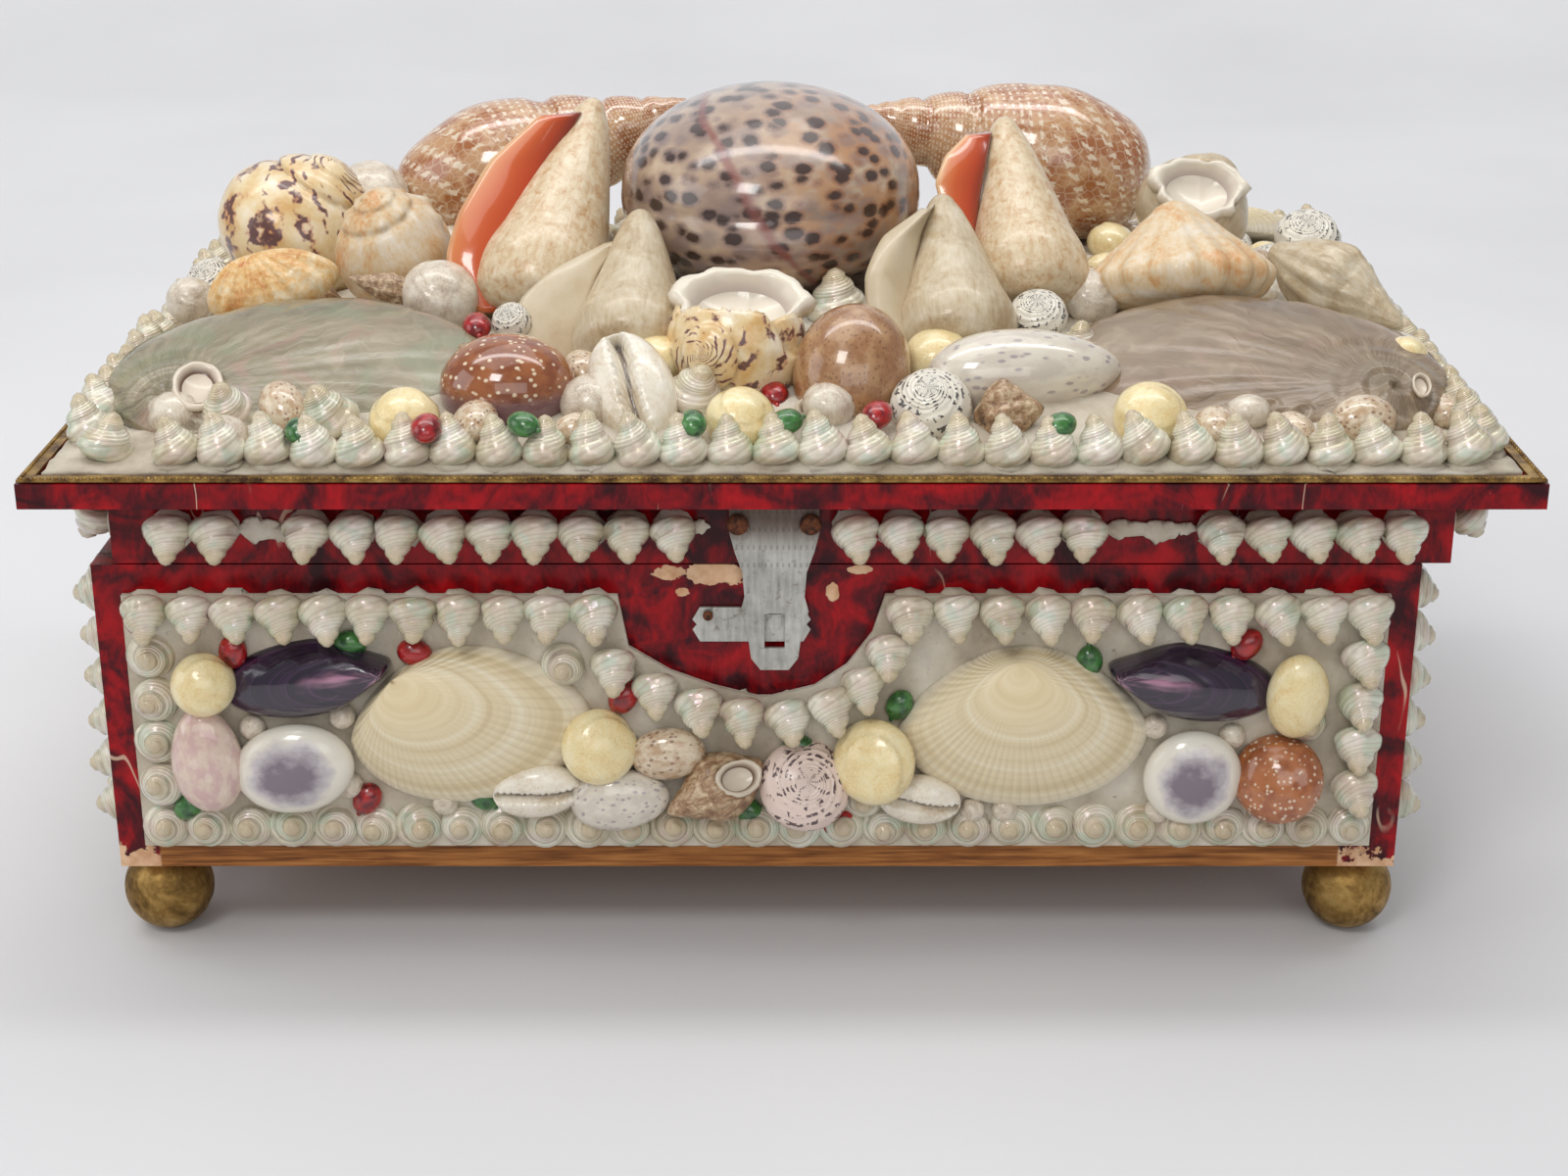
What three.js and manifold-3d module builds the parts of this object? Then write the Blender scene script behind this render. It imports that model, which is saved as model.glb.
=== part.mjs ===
// A shell-covered keepsake box: a papered wooden case on ball feet, with a hinged lid that carries a
// mound of sea shells set in plaster. Millimetres, +Z up, front towards -Y. The origin is on the table,
// under the middle of the lid board.
import * as THREE from "three";
import { mergeVertices } from "three/addons/utils/BufferGeometryUtils.js";
import Module from "manifold-3d";

const wasm = await Module();
wasm.setup();

// Case and feet
const GAP = 0.3; // what touches is drawn this far apart
const CASE_LENGTH = 253;
const CASE_DEPTH = 164;
const CASE_HEIGHT = 64;
const CASE_WALL = 6;
const CASE_FLOOR = 5;
const FOOT_DIAMETER = 18.6;
const FOOT_HEIGHT = 17.9;
const FOOT_SPOT = 0.25; // how much is worn flat under each ball
const FOOT_INSET = 6.5; // from the case's side to the ball's centre
const FOOT_SETBACK = 1; // from the case's front to the ball
const LID_SHIFT = 4.9; // the worn hinges let the lid sit this far to the right

// Lid
const LID_LENGTH = 280;
const LID_DEPTH = 190;
const LID_THICKNESS = 4.8;
const FRAME_LENGTH = CASE_LENGTH + 1;
const FRAME_DEPTH = CASE_DEPTH; // the frame stands on the case's walls
const FRAME_HEIGHT = 15;
const FRAME_WALL = 6;
const EDGING_WIDTH = 2.8;
const EDGING_THICKNESS = 0.5;

// Hinges
const LEAF_WIDTH = 24;
const LEAF_THICKNESS = 0.8;
const LEAF_HEIGHT = 11;
const HINGE_SPREAD = 84; // from the middle to each hinge
const PIN_DIAMETER = 3;

// Hasp and catch
const HASP_X = -1.4;
const HASP_LENGTH = 35;
const HASP_WIDTH = 17;
const HASP_TONGUE = 11.4;
const HASP_THICKNESS = 0.8;
const HASP_STAND_OFF = 1.8; // between the case's face and the strap's back
const NAIL_DIAMETER = 4.1;
const NAIL_HEAD = 0.7;
const SLOT_WIDTH = 3.9;
const SLOT_HEIGHT = 7.1;
const SLOT_RISE = 4.5; // from the strap's lower end to the slot
const CATCH_WIDTH = 22.6;
const CATCH_HEIGHT = 7;
const CATCH_THICKNESS = 0.7;
const CATCH_NIB = 0.5;
const CATCH_X = -5.8;
const CATCH_SCALLOP = 1.4; // how far the catch's ends are cut in

// Plaster
const PANEL_BED = 1.2;
const SIDE_BED = 0.8;
const LID_BED_EDGE = 1.2;
const LID_BED_CROWN = 14;
const SINK = 0.8; // how deep the front shells sit in their bed

// Pearly top shells of the borders
const TOP_DIAMETER = 9.2;
const TOP_HEIGHT = 8;
const SIDE_TOP_HEIGHT = 6.5;
const TOP_PITCH = 8.6;
const FRONT_PITCH = 8.45;
const NECK_SHARE = 0.45; // width of the join between two neighbours in a row, of their diameter
const NECK_RISE = 0.3; // height of that join, of theirs
const SKIRT_RISE = 0.15; // height of a top shell's widest line
const TIP_LEAN = 3.2; // how far the tips of the leaning rows hang over
const ROW_INSET = 10.2; // from a case board's edge to the middle of the row along it
const FRAME_ROW_RISE = 7; // from the frame's lower edge to its row
const ROW_START = 11.8; // from the frame's left end to its first shell
const HASP_ROOM_LEFT = 10.6; // from the hasp to the middle of the nearest shells
const HASP_ROOM_RIGHT = 6.6;
const SIDE_COCKLE = { width: 46, depth: 6.2, spread: 44, skew: 3 };

// Each shell's place and size is given for the boards as they are now, and follows them if they change:
// on the lid along X, Y and Z, on the case's front across, up and out.
const LID_SCALE = [LID_LENGTH / 280, LID_DEPTH / 190, LID_BED_CROWN / 14];
const FRONT_SCALE = [CASE_LENGTH / 253, CASE_HEIGHT / 64, TOP_HEIGHT / 8];

const CASE_BOTTOM = FOOT_HEIGHT + GAP;
const CASE_TOP = CASE_BOTTOM + CASE_HEIGHT;
const CASE_X = -LID_SHIFT;
const FRAME_BOTTOM = CASE_TOP + GAP;
const BOARD_BOTTOM = FRAME_BOTTOM + FRAME_HEIGHT + GAP;
const BOARD_TOP = BOARD_BOTTOM + LID_THICKNESS;
const CASE_FRONT = -CASE_DEPTH / 2;
const CASE_BACK = CASE_DEPTH / 2;
const BED_TOP = BOARD_TOP + GAP;

const COLOURS = {
  paper: [0x8c1018, 0.35, 0],
  wood: [0xb0713a, 0.6, 0],
  brass: [0x9a7a3c, 0.4, 0.8],
  gilt: [0xa88a4a, 0.5, 0.5],
  tin: [0xa9a8a2, 0.45, 0.8],
  plaster: [0xd8d4cc, 0.9, 0],
  pearl: [0xddd6c4, 0.25, 0],
  cream: [0xe6d6a8, 0.3, 0],
  mussel: [0x2c1c34, 0.2, 0],
  spotted: [0x9b8478, 0.15, 0],
  orange: [0xd9a06a, 0.35, 0],
  bone: [0xdccfb8, 0.4, 0],
  brown: [0xa87550, 0.3, 0],
};

const lid = new THREE.Group();
const box = new THREE.Group();
const placed = [];

const vec = (x, y, z) => new THREE.Vector3(x, y, z);
const UP = vec(0, 0, 1);
const FORWARD = vec(0, -1, 0);
const degrees = (angle) => (angle * Math.PI) / 180;
const join = (parts) => parts.reduce((a, b) => a.add(b));

const caseAlong = (x) => x * FRONT_SCALE[0];
const caseRise = (z) => CASE_BOTTOM + z * FRONT_SCALE[1];

function solid(geometry) {
  const flat = geometry.index ? geometry.toNonIndexed() : geometry.clone();
  const bare = new THREE.BufferGeometry().setAttribute("position", flat.getAttribute("position"));
  const merged = mergeVertices(bare, 1e-3);
  return new wasm.Manifold(
    new wasm.Mesh({
      numProp: 3,
      vertProperties: merged.attributes.position.array,
      triVerts: new Uint32Array(merged.index.array),
    }),
  );
}

function geometryOf(made) {
  const mesh = made.getMesh();
  const points = new Float32Array(mesh.numVert * 3);
  for (let i = 0; i < mesh.numVert; i++) {
    points.set(mesh.vertProperties.subarray(i * mesh.numProp, i * mesh.numProp + 3), i * 3);
  }
  return new THREE.BufferGeometry()
    .setAttribute("position", new THREE.BufferAttribute(points, 3))
    .setIndex(new THREE.BufferAttribute(new Uint32Array(mesh.triVerts), 1));
}

function add(group, name, made, [color, roughness, metalness]) {
  const geometry = geometryOf(made);
  geometry.computeVertexNormals();
  const mesh = new THREE.Mesh(geometry, new THREE.MeshStandardMaterial({ color, roughness, metalness }));
  mesh.name = name;
  group.add(mesh);
}

// A block between two corners.
function block(low, high) {
  const size = high.clone().sub(low);
  const middle = high.clone().add(low).multiplyScalar(0.5);
  return solid(new THREE.BoxGeometry(size.x, size.y, size.z).translate(middle.x, middle.y, middle.z));
}

// The same convex solid, bigger all round by the gap, to cut a neighbour with.
function grown(made) {
  const { min, max } = made.boundingBox();
  const middle = [0, 1, 2].map((k) => (min[k] + max[k]) / 2);
  const scale = [0, 1, 2].map((k) => (max[k] - min[k] + 2.4 * GAP) / (max[k] - min[k]));
  return made.translate(middle.map((v) => -v)).scale(scale).translate(middle);
}

const near = (a, b) => [0, 1, 2].every((k) => a.min[k] < b.max[k] + GAP && b.min[k] < a.max[k] + GAP);

const largest = (made) => made.decompose().reduce((a, b) => (b.volume() > a.volume() ? b : a));

// Joins the parts of a shell and cuts them by all that was set before, as the maker bedded it among them.
function settle(parts, cutters = parts.map(grown)) {
  let left = join(parts);
  for (const other of placed) {
    if (near(left.boundingBox(), other.bounds)) {
      left = left.subtract(other.cutter);
    }
  }
  left = largest(left);
  const cutter = join(cutters);
  placed.push({ bounds: cutter.boundingBox(), cutter });
  return left;
}

// The rotation that turns +Z to an axis.
const turnTo = (axis) => new THREE.Quaternion().setFromUnitVectors(UP, axis.clone().normalize());

// Centres a geometry on `at`, then slides it along `out` until its innermost point is at `level`.
function rest(geometry, out, level, at) {
  geometry.computeBoundingBox();
  const middle = geometry.boundingBox.getCenter(vec(0, 0, 0));
  geometry.translate(-middle.x, -middle.y, -middle.z);
  const points = geometry.getAttribute("position");
  let lowest = Infinity;
  for (let i = 0; i < points.count; i++) {
    lowest = Math.min(lowest, vec(0, 0, 0).fromBufferAttribute(points, i).dot(out));
  }
  const shift = out.clone().multiplyScalar(level - lowest - at.dot(out)).add(at);
  return geometry.translate(shift.x, shift.y, shift.z);
}

// The lathe turns about +Y; shells are built about +Z.
const upright = (geometry) => geometry.rotateX(Math.PI / 2);

// Points at about the pitch along a run of straight legs, corners included.
function spaced(corners, pitch = TOP_PITCH) {
  const points = [corners[0]];
  for (let i = 1; i < corners.length; i++) {
    const leg = corners[i].clone().sub(corners[i - 1]);
    const count = Math.max(1, Math.round(leg.length() / pitch));
    for (let k = 1; k <= count; k++) {
      points.push(corners[i - 1].clone().addScaledVector(leg, k / count));
    }
  }
  return points;
}

const fromPoints = (position) =>
  new THREE.BufferGeometry().setAttribute("position", new THREE.Float32BufferAttribute(position, 3));

const STRAIGHT = () => vec(0, 0, 0);
const HANGING = () => vec(0, 0, -TIP_LEAN);

// A row of top shells fused at their necks, each a six-sided cone on a flat foot. Its tip is carried
// by `lean` from above the middle.
function topRow(row) {
  const { corners, closed = false, pitch, out, lean = STRAIGHT, level, height = TOP_HEIGHT, grow = 0 } = row;
  const points = spaced(corners, pitch).slice(closed ? 1 : 0);
  const count = points.length;
  const radius = TOP_DIAMETER / 2 + grow;
  const neck = radius * NECK_SHARE;
  const lift = (p, rise) => p.clone().addScaledVector(out, level + rise - p.dot(out));
  const sideways = (from, to) => out.clone().cross(to.clone().sub(from)).normalize();
  const neighbour = (i) => points[closed ? (i + count) % count : Math.min(count - 1, Math.max(0, i))];
  const joint = (i) => {
    const a = neighbour(i);
    const b = neighbour(i + 1);
    const end = !closed && (i < 0 || i === count - 1);
    const heading = (i < 0 ? neighbour(1).clone().sub(a) : b.clone().sub(neighbour(count - 2))).normalize();
    const beyond = a.clone().addScaledVector(heading, i < 0 ? -radius : radius);
    const middle = end ? beyond : a.clone().add(b).multiplyScalar(0.5);
    const side = end ? out.clone().cross(heading) : sideways(a, b);
    const corner = (sign, rise) => lift(middle.clone().addScaledVector(side, sign * neck), rise);
    const high = height * NECK_RISE + grow;
    const low = -grow;
    return {
      leftHigh: corner(1, high),
      rightHigh: corner(-1, high),
      leftLow: corner(1, low),
      rightLow: corner(-1, low),
    };
  };
  const position = [];
  const face = (...loop) =>
    loop.slice(2).forEach((_, k) => {
      [loop[0], loop[k + 1], loop[k + 2]].forEach((p) => position.push(p.x, p.y, p.z));
    });
  points.forEach((at, i) => {
    const before = joint(i - 1);
    const after = joint(i);
    const side = sideways(neighbour(i - 1), neighbour(i + 1));
    const left = lift(at.clone().addScaledVector(side, radius), height * SKIRT_RISE);
    const right = lift(at.clone().addScaledVector(side, -radius), height * SKIRT_RISE);
    const tip = lift(at.clone().add(lean(at)), height + grow);
    const top = [before.leftHigh, before.rightHigh, right, after.rightHigh, after.leftHigh, left];
    const base = [before.leftLow, left, after.leftLow, after.rightLow, right, before.rightLow];
    top.forEach((p, k) => face(tip, p, top[(k + 1) % 6]));
    face(base[0], base[1], base[2]);
    face(base[0], base[2], base[3], base[5]);
    face(base[3], base[4], base[5]);
    face(left, before.leftLow, before.leftHigh);
    face(left, after.leftHigh, after.leftLow);
    face(right, before.rightHigh, before.rightLow);
    face(right, after.rightLow, after.rightHigh);
    if (!closed && i === 0) face(before.leftHigh, before.leftLow, before.rightLow, before.rightHigh);
    if (!closed && i === count - 1) face(after.rightHigh, after.rightLow, after.leftLow, after.leftHigh);
  });
  return solid(fromPoints(position));
}

// Sets a row, with what else is fused to it.
const settleRow = (row, extra = []) =>
  settle([topRow(row), ...extra], [topRow({ ...row, grow: GAP }), ...extra.map(grown)]);

// An egg with half axes a, b, c, its poles on Z.
function egg(a, b, c, around = 10, rings = 6) {
  return new THREE.SphereGeometry(1, around, rings).rotateX(Math.PI / 2).scale(a, b, c);
}

// A closed skin over rings of equal count: the first is capped flat, the last closes on its middle.
function skin(rings) {
  const position = [];
  const around = rings[0].length;
  const triangle = (...corners) => corners.forEach((p) => position.push(p.x, p.y, p.z));
  const middle = (ring) => ring.reduce((sum, p) => sum.add(p), vec(0, 0, 0)).divideScalar(around);
  const low = middle(rings[0]);
  const high = middle(rings.at(-1));
  for (let i = 0; i < around; i++) {
    const next = (i + 1) % around;
    triangle(low, rings[0][next], rings[0][i]);
    for (let j = 0; j < rings.length - 1; j++) {
      triangle(rings[j][i], rings[j][next], rings[j + 1][next]);
      triangle(rings[j][i], rings[j + 1][next], rings[j + 1][i]);
    }
    triangle(rings.at(-1)[i], rings.at(-1)[next], high);
  }
  return fromPoints(position);
}

// One valve of a bivalve on its rim in XY: back towards +Z, beak towards +Y and `skew` to the side.
function valve(width, height, depth, skew = 0, around = 14) {
  const steps = [0, 0.3, 0.6, 0.85];
  const rings = steps.map((t) => {
    const scale = Math.cos((t * Math.PI) / 2);
    const rise = depth * Math.sin((t * Math.PI) / 2);
    return Array.from({ length: around }, (_, i) => {
      const angle = (i / around) * 2 * Math.PI;
      const narrow = 1 - 0.25 * Math.max(0, Math.sin(angle));
      const x = (Math.cos(angle) * narrow * width * scale) / 2 + skew * (1 - scale);
      const y = (Math.sin(angle) * height * scale) / 2 + height * 0.22 * (1 - scale);
      return vec(x, y, rise);
    });
  });
  return skin(rings);
}

// A spired shell about Z with its tip at +Z, from a profile of [radius, height] shares of its size.
function spired(profile, radius, length, sides = 10) {
  const line = profile.map(([r, h]) => new THREE.Vector2(r * radius, h * length));
  return upright(new THREE.LatheGeometry(line, sides));
}

const CONE_PROFILE = [[0, -0.5], [0.55, -0.47], [0.95, -0.32], [1, -0.18], [0.78, 0.06], [0.3, 0.38], [0, 0.5]];
const PHEASANT_PROFILE = [
  [0, -0.5],
  [0.55, -0.45],
  [0.95, -0.26],
  [1, -0.12],
  [0.8, 0.04],
  [0.52, 0.22],
  [0.24, 0.4],
  [0, 0.5],
];
const TURBAN_PROFILE = [[0, -0.5], [0.7, -0.42], [1, -0.1], [0.85, 0.2], [0.5, 0.36], [0, 0.5]];

// A shape turned to an axis and set with its middle at a place over the lid board's middle.
function set(geometry, at, axis = UP) {
  const turned = geometry.applyQuaternion(turnTo(axis)).translate(at.x, at.y, at.z);
  return solid(turned.scale(...LID_SCALE).translate(0, 0, BED_TOP));
}

// A shape set on the case's front, its local X to the right and its local Z away from the case.
function onFront(geometry, x, z, roll = 0) {
  geometry.rotateZ(degrees(roll)).scale(...FRONT_SCALE).rotateX(Math.PI / 2);
  return solid(rest(geometry, FORWARD, FRONT_LEVEL - SINK, onPanel(x, z)));
}

// The case: front and back run the full length, the ends and the floor fit between them.
function caseBoards() {
  const left = CASE_X - CASE_LENGTH / 2;
  const right = CASE_X + CASE_LENGTH / 2;
  const front = CASE_FRONT + CASE_WALL + GAP;
  const back = CASE_BACK - CASE_WALL - GAP;
  const inset = CASE_WALL + GAP;
  const boards = {
    case_front: [vec(left, CASE_FRONT, CASE_BOTTOM), vec(right, CASE_FRONT + CASE_WALL, CASE_TOP)],
    case_back: [vec(left, CASE_BACK - CASE_WALL, CASE_BOTTOM), vec(right, CASE_BACK, CASE_TOP)],
    case_left_end: [vec(left, front, CASE_BOTTOM), vec(left + CASE_WALL, back, CASE_TOP)],
    case_right_end: [vec(right - CASE_WALL, front, CASE_BOTTOM), vec(right, back, CASE_TOP)],
    case_floor: [vec(left + inset, front, CASE_BOTTOM), vec(right - inset, back, CASE_BOTTOM + CASE_FLOOR)],
  };
  for (const [name, [low, high]] of Object.entries(boards)) {
    add(box, name, block(low, high), name === "case_floor" ? COLOURS.wood : COLOURS.paper);
  }
}

function ballFeet() {
  const radius = FOOT_DIAMETER / 2;
  const centre = radius - FOOT_SPOT;
  const from = -Math.asin(centre / radius);
  const to = Math.asin((FOOT_HEIGHT - centre) / radius);
  const steps = 5;
  const profile = [new THREE.Vector2(0, 0)];
  for (let i = 0; i <= steps; i++) {
    const angle = from + ((to - from) * i) / steps;
    profile.push(new THREE.Vector2(radius * Math.cos(angle), centre + radius * Math.sin(angle)));
  }
  profile.push(new THREE.Vector2(0, FOOT_HEIGHT));
  const reach = CASE_LENGTH / 2 - FOOT_INSET;
  const depth = CASE_DEPTH / 2 - radius - FOOT_SETBACK;
  for (const [side, sx] of [["left", -1], ["right", 1]]) {
    for (const [end, sy] of [["front", -1], ["back", 1]]) {
      const ball = upright(new THREE.LatheGeometry(profile, 12)).translate(CASE_X + sx * reach, sy * depth, 0);
      add(box, `ball_foot_${end}_${side}`, solid(ball), COLOURS.brass);
    }
  }
}

// The lid board and the frame of four boards under it.
function lidBoards() {
  const x = FRAME_LENGTH / 2;
  const y = FRAME_DEPTH / 2;
  const top = FRAME_BOTTOM + FRAME_HEIGHT;
  const inner = y - FRAME_WALL - GAP;
  const boards = {
    lid_board: [
      vec(-LID_LENGTH / 2, -LID_DEPTH / 2, BOARD_BOTTOM),
      vec(LID_LENGTH / 2, LID_DEPTH / 2, BOARD_TOP),
    ],
    frame_front: [vec(-x, -y, FRAME_BOTTOM), vec(x, -y + FRAME_WALL, top)],
    frame_back: [vec(-x, y - FRAME_WALL, FRAME_BOTTOM), vec(x, y, top)],
    frame_left: [vec(-x, -inner, FRAME_BOTTOM), vec(-x + FRAME_WALL, inner, top)],
    frame_right: [vec(x - FRAME_WALL, -inner, FRAME_BOTTOM), vec(x, inner, top)],
  };
  for (const [name, [low, high]] of Object.entries(boards)) {
    add(lid, name, block(low, high), COLOURS.paper);
  }
}

// The gilt paper strip along the lid board's edge.
function giltEdging() {
  const low = BOARD_TOP + GAP;
  const high = low + EDGING_THICKNESS;
  const outer = vec(LID_LENGTH / 2 - GAP, LID_DEPTH / 2 - GAP, 0);
  const inner = vec(outer.x - EDGING_WIDTH, outer.y - EDGING_WIDTH, 0);
  const strip = block(vec(-outer.x, -outer.y, low), vec(outer.x, outer.y, high));
  const hole = block(vec(-inner.x, -inner.y, low - 1), vec(inner.x, inner.y, high + 1));
  add(lid, "gilt_edging", strip.subtract(hole), COLOURS.gilt);
}

// Each hinge is two plates with knuckles round the pin's line, the lid's knuckle between the case's two.
function hinges() {
  const axisY = CASE_BACK + GAP + PIN_DIAMETER / 2;
  const axisZ = CASE_TOP + GAP / 2;
  const half = LEAF_WIDTH / 2;
  const inner = LEAF_WIDTH / 6;
  const room = PIN_DIAMETER / 2 + GAP;
  const knuckle = (from, to) =>
    solid(
      new THREE.CylinderGeometry(PIN_DIAMETER / 2, PIN_DIAMETER / 2, to - from, 10)
        .rotateZ(Math.PI / 2)
        .translate((from + to) / 2, axisY, axisZ),
    );
  const plate = (low, high) =>
    block(vec(-half, CASE_BACK + GAP, low), vec(half, CASE_BACK + GAP + LEAF_THICKNESS, high));
  const relief = (from, to) => block(vec(from, CASE_BACK, axisZ - room), vec(to, axisY + room, axisZ + room));
  const caseLeaf = plate(axisZ - LEAF_HEIGHT, axisZ)
    .subtract(relief(-inner - GAP, inner + GAP))
    .add(knuckle(-half, -inner - GAP))
    .add(knuckle(inner + GAP, half));
  const lidLeaf = plate(axisZ, axisZ + LEAF_HEIGHT)
    .subtract(relief(-half - 1, -inner))
    .subtract(relief(inner, half + 1))
    .add(knuckle(-inner, inner));
  for (const [side, sign] of [["left", -1], ["right", 1]]) {
    add(box, `hinge_${side}_case_leaf`, caseLeaf.translate([sign * HINGE_SPREAD, 0, 0]), COLOURS.tin);
    add(lid, `hinge_${side}_lid_leaf`, lidLeaf.translate([sign * HINGE_SPREAD, 0, 0]), COLOURS.tin);
  }
}

// An outline in X and Z, `thick` deep, with its back at y and its face towards -Y.
function plateOf(outline, y, thick, hole) {
  const shape = new THREE.Shape(outline.map(([x, z]) => new THREE.Vector2(x, z)));
  if (hole) {
    shape.holes.push(new THREE.Path(hole.map(([x, z]) => new THREE.Vector2(x, z))));
  }
  const plate = new THREE.ExtrudeGeometry(shape, { depth: thick, bevelEnabled: false });
  return solid(plate.rotateX(Math.PI / 2).translate(0, y, 0));
}

// The strap nailed to the lid frame, its slot in front of the catch on the case.
function haspAndCatch() {
  const top = FRAME_BOTTOM + FRAME_HEIGHT - 3 * GAP;
  const bottom = top - HASP_LENGTH;
  const half = HASP_WIDTH / 2;
  const tongue = HASP_TONGUE / 2;
  const right = [
    [half, top],
    [half, top - 7],
    [half - 1, top - 11],
    [tongue + 0.4, top - 15],
    [tongue, top - 20],
    [tongue + 0.8, top - 23],
    [tongue - 0.4, top - 26.5],
    [tongue - 1.2, bottom + 2.4],
    [tongue - 3, bottom],
  ];
  const notch = [0, top - 1.2];
  const outline = [notch, ...right, ...right.toReversed().map(([x, z]) => [-x, z])];
  const slotBottom = bottom + SLOT_RISE;
  const slotTop = slotBottom + SLOT_HEIGHT;
  const slot = [
    [-SLOT_WIDTH / 2, slotBottom],
    [SLOT_WIDTH / 2, slotBottom],
    [SLOT_WIDTH / 2, slotTop],
    [-SLOT_WIDTH / 2, slotTop],
  ];
  const strap = plateOf(outline, CASE_FRONT - HASP_STAND_OFF, HASP_THICKNESS, slot);
  const nailLength = HASP_STAND_OFF + HASP_THICKNESS + NAIL_HEAD - GAP;
  const nails = [-1, 1].map((side) =>
    solid(
      new THREE.CylinderGeometry(NAIL_DIAMETER / 2, NAIL_DIAMETER / 2, nailLength, 8).translate(
        side * (half - 2),
        CASE_FRONT - GAP - nailLength / 2,
        top - 6.5,
      ),
    ),
  );
  add(lid, "hasp", join([strap, ...nails]).translate([HASP_X, 0, 0]), COLOURS.tin);

  const face = CASE_FRONT - GAP - CATCH_THICKNESS;
  const middle = slotTop - SLOT_HEIGHT * 0.4;
  const reach = CATCH_WIDTH / 2;
  const scallops = [
    [reach, middle + 1],
    [reach - CATCH_SCALLOP, middle + CATCH_HEIGHT / 2],
    [-reach + CATCH_SCALLOP, middle + CATCH_HEIGHT / 2],
    [-reach, middle + 1],
    [-reach + 0.8, middle],
    [-reach, middle - 1],
    [-reach + CATCH_SCALLOP, middle - CATCH_HEIGHT / 2],
    [reach - CATCH_SCALLOP, middle - CATCH_HEIGHT / 2],
    [reach, middle - 1],
    [reach - 0.8, middle],
  ];
  const plate = plateOf(scallops, CASE_FRONT - GAP, CATCH_THICKNESS).translate([CATCH_X, 0, 0]);
  const nib = block(
    vec(HASP_X - SLOT_WIDTH / 2 + 0.7, face - CATCH_NIB, slotTop - SLOT_HEIGHT * 0.5),
    vec(HASP_X + SLOT_WIDTH / 2 - 0.7, face + 0.2, slotTop - 0.6),
  );
  add(box, "catch_plate", plate.add(nib), COLOURS.tin);
}

// The front panel: a thin bed of plaster that dips round the hasp, and the shells set in it.
const FRONT_LEVEL = CASE_DEPTH / 2 + GAP + PANEL_BED + GAP;
const ROW_TOP_RISE = 53.7;
const ROW_BOTTOM_RISE = 9.9;
const ROW_TOP = caseRise(ROW_TOP_RISE);
const ROW_BOTTOM = caseRise(ROW_BOTTOM_RISE);
const ROW_HALF = CASE_LENGTH / 2 - ROW_INSET;
const ROW_EDGE = TOP_DIAMETER / 2;
const onPanel = (x, rise) => vec(CASE_X + caseAlong(x), 0, caseRise(rise));

// The row's line round the hasp, as places on the panel.
const DIP = [
  [-31, ROW_TOP_RISE],
  [-27.5, 44.2],
  [-19.6, 39.2],
  [-11.3, 36],
  [-2.9, 33.8],
  [5.9, 33.8],
  [14.2, 36],
  [20.4, 40.4],
  [25.2, 47.1],
  [29.2, ROW_TOP_RISE],
];
const DIP_BED_IN = 3; // the plaster's edge stays inside the dip's shells by this much
const DIP_BED_UP = 3.5;

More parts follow.
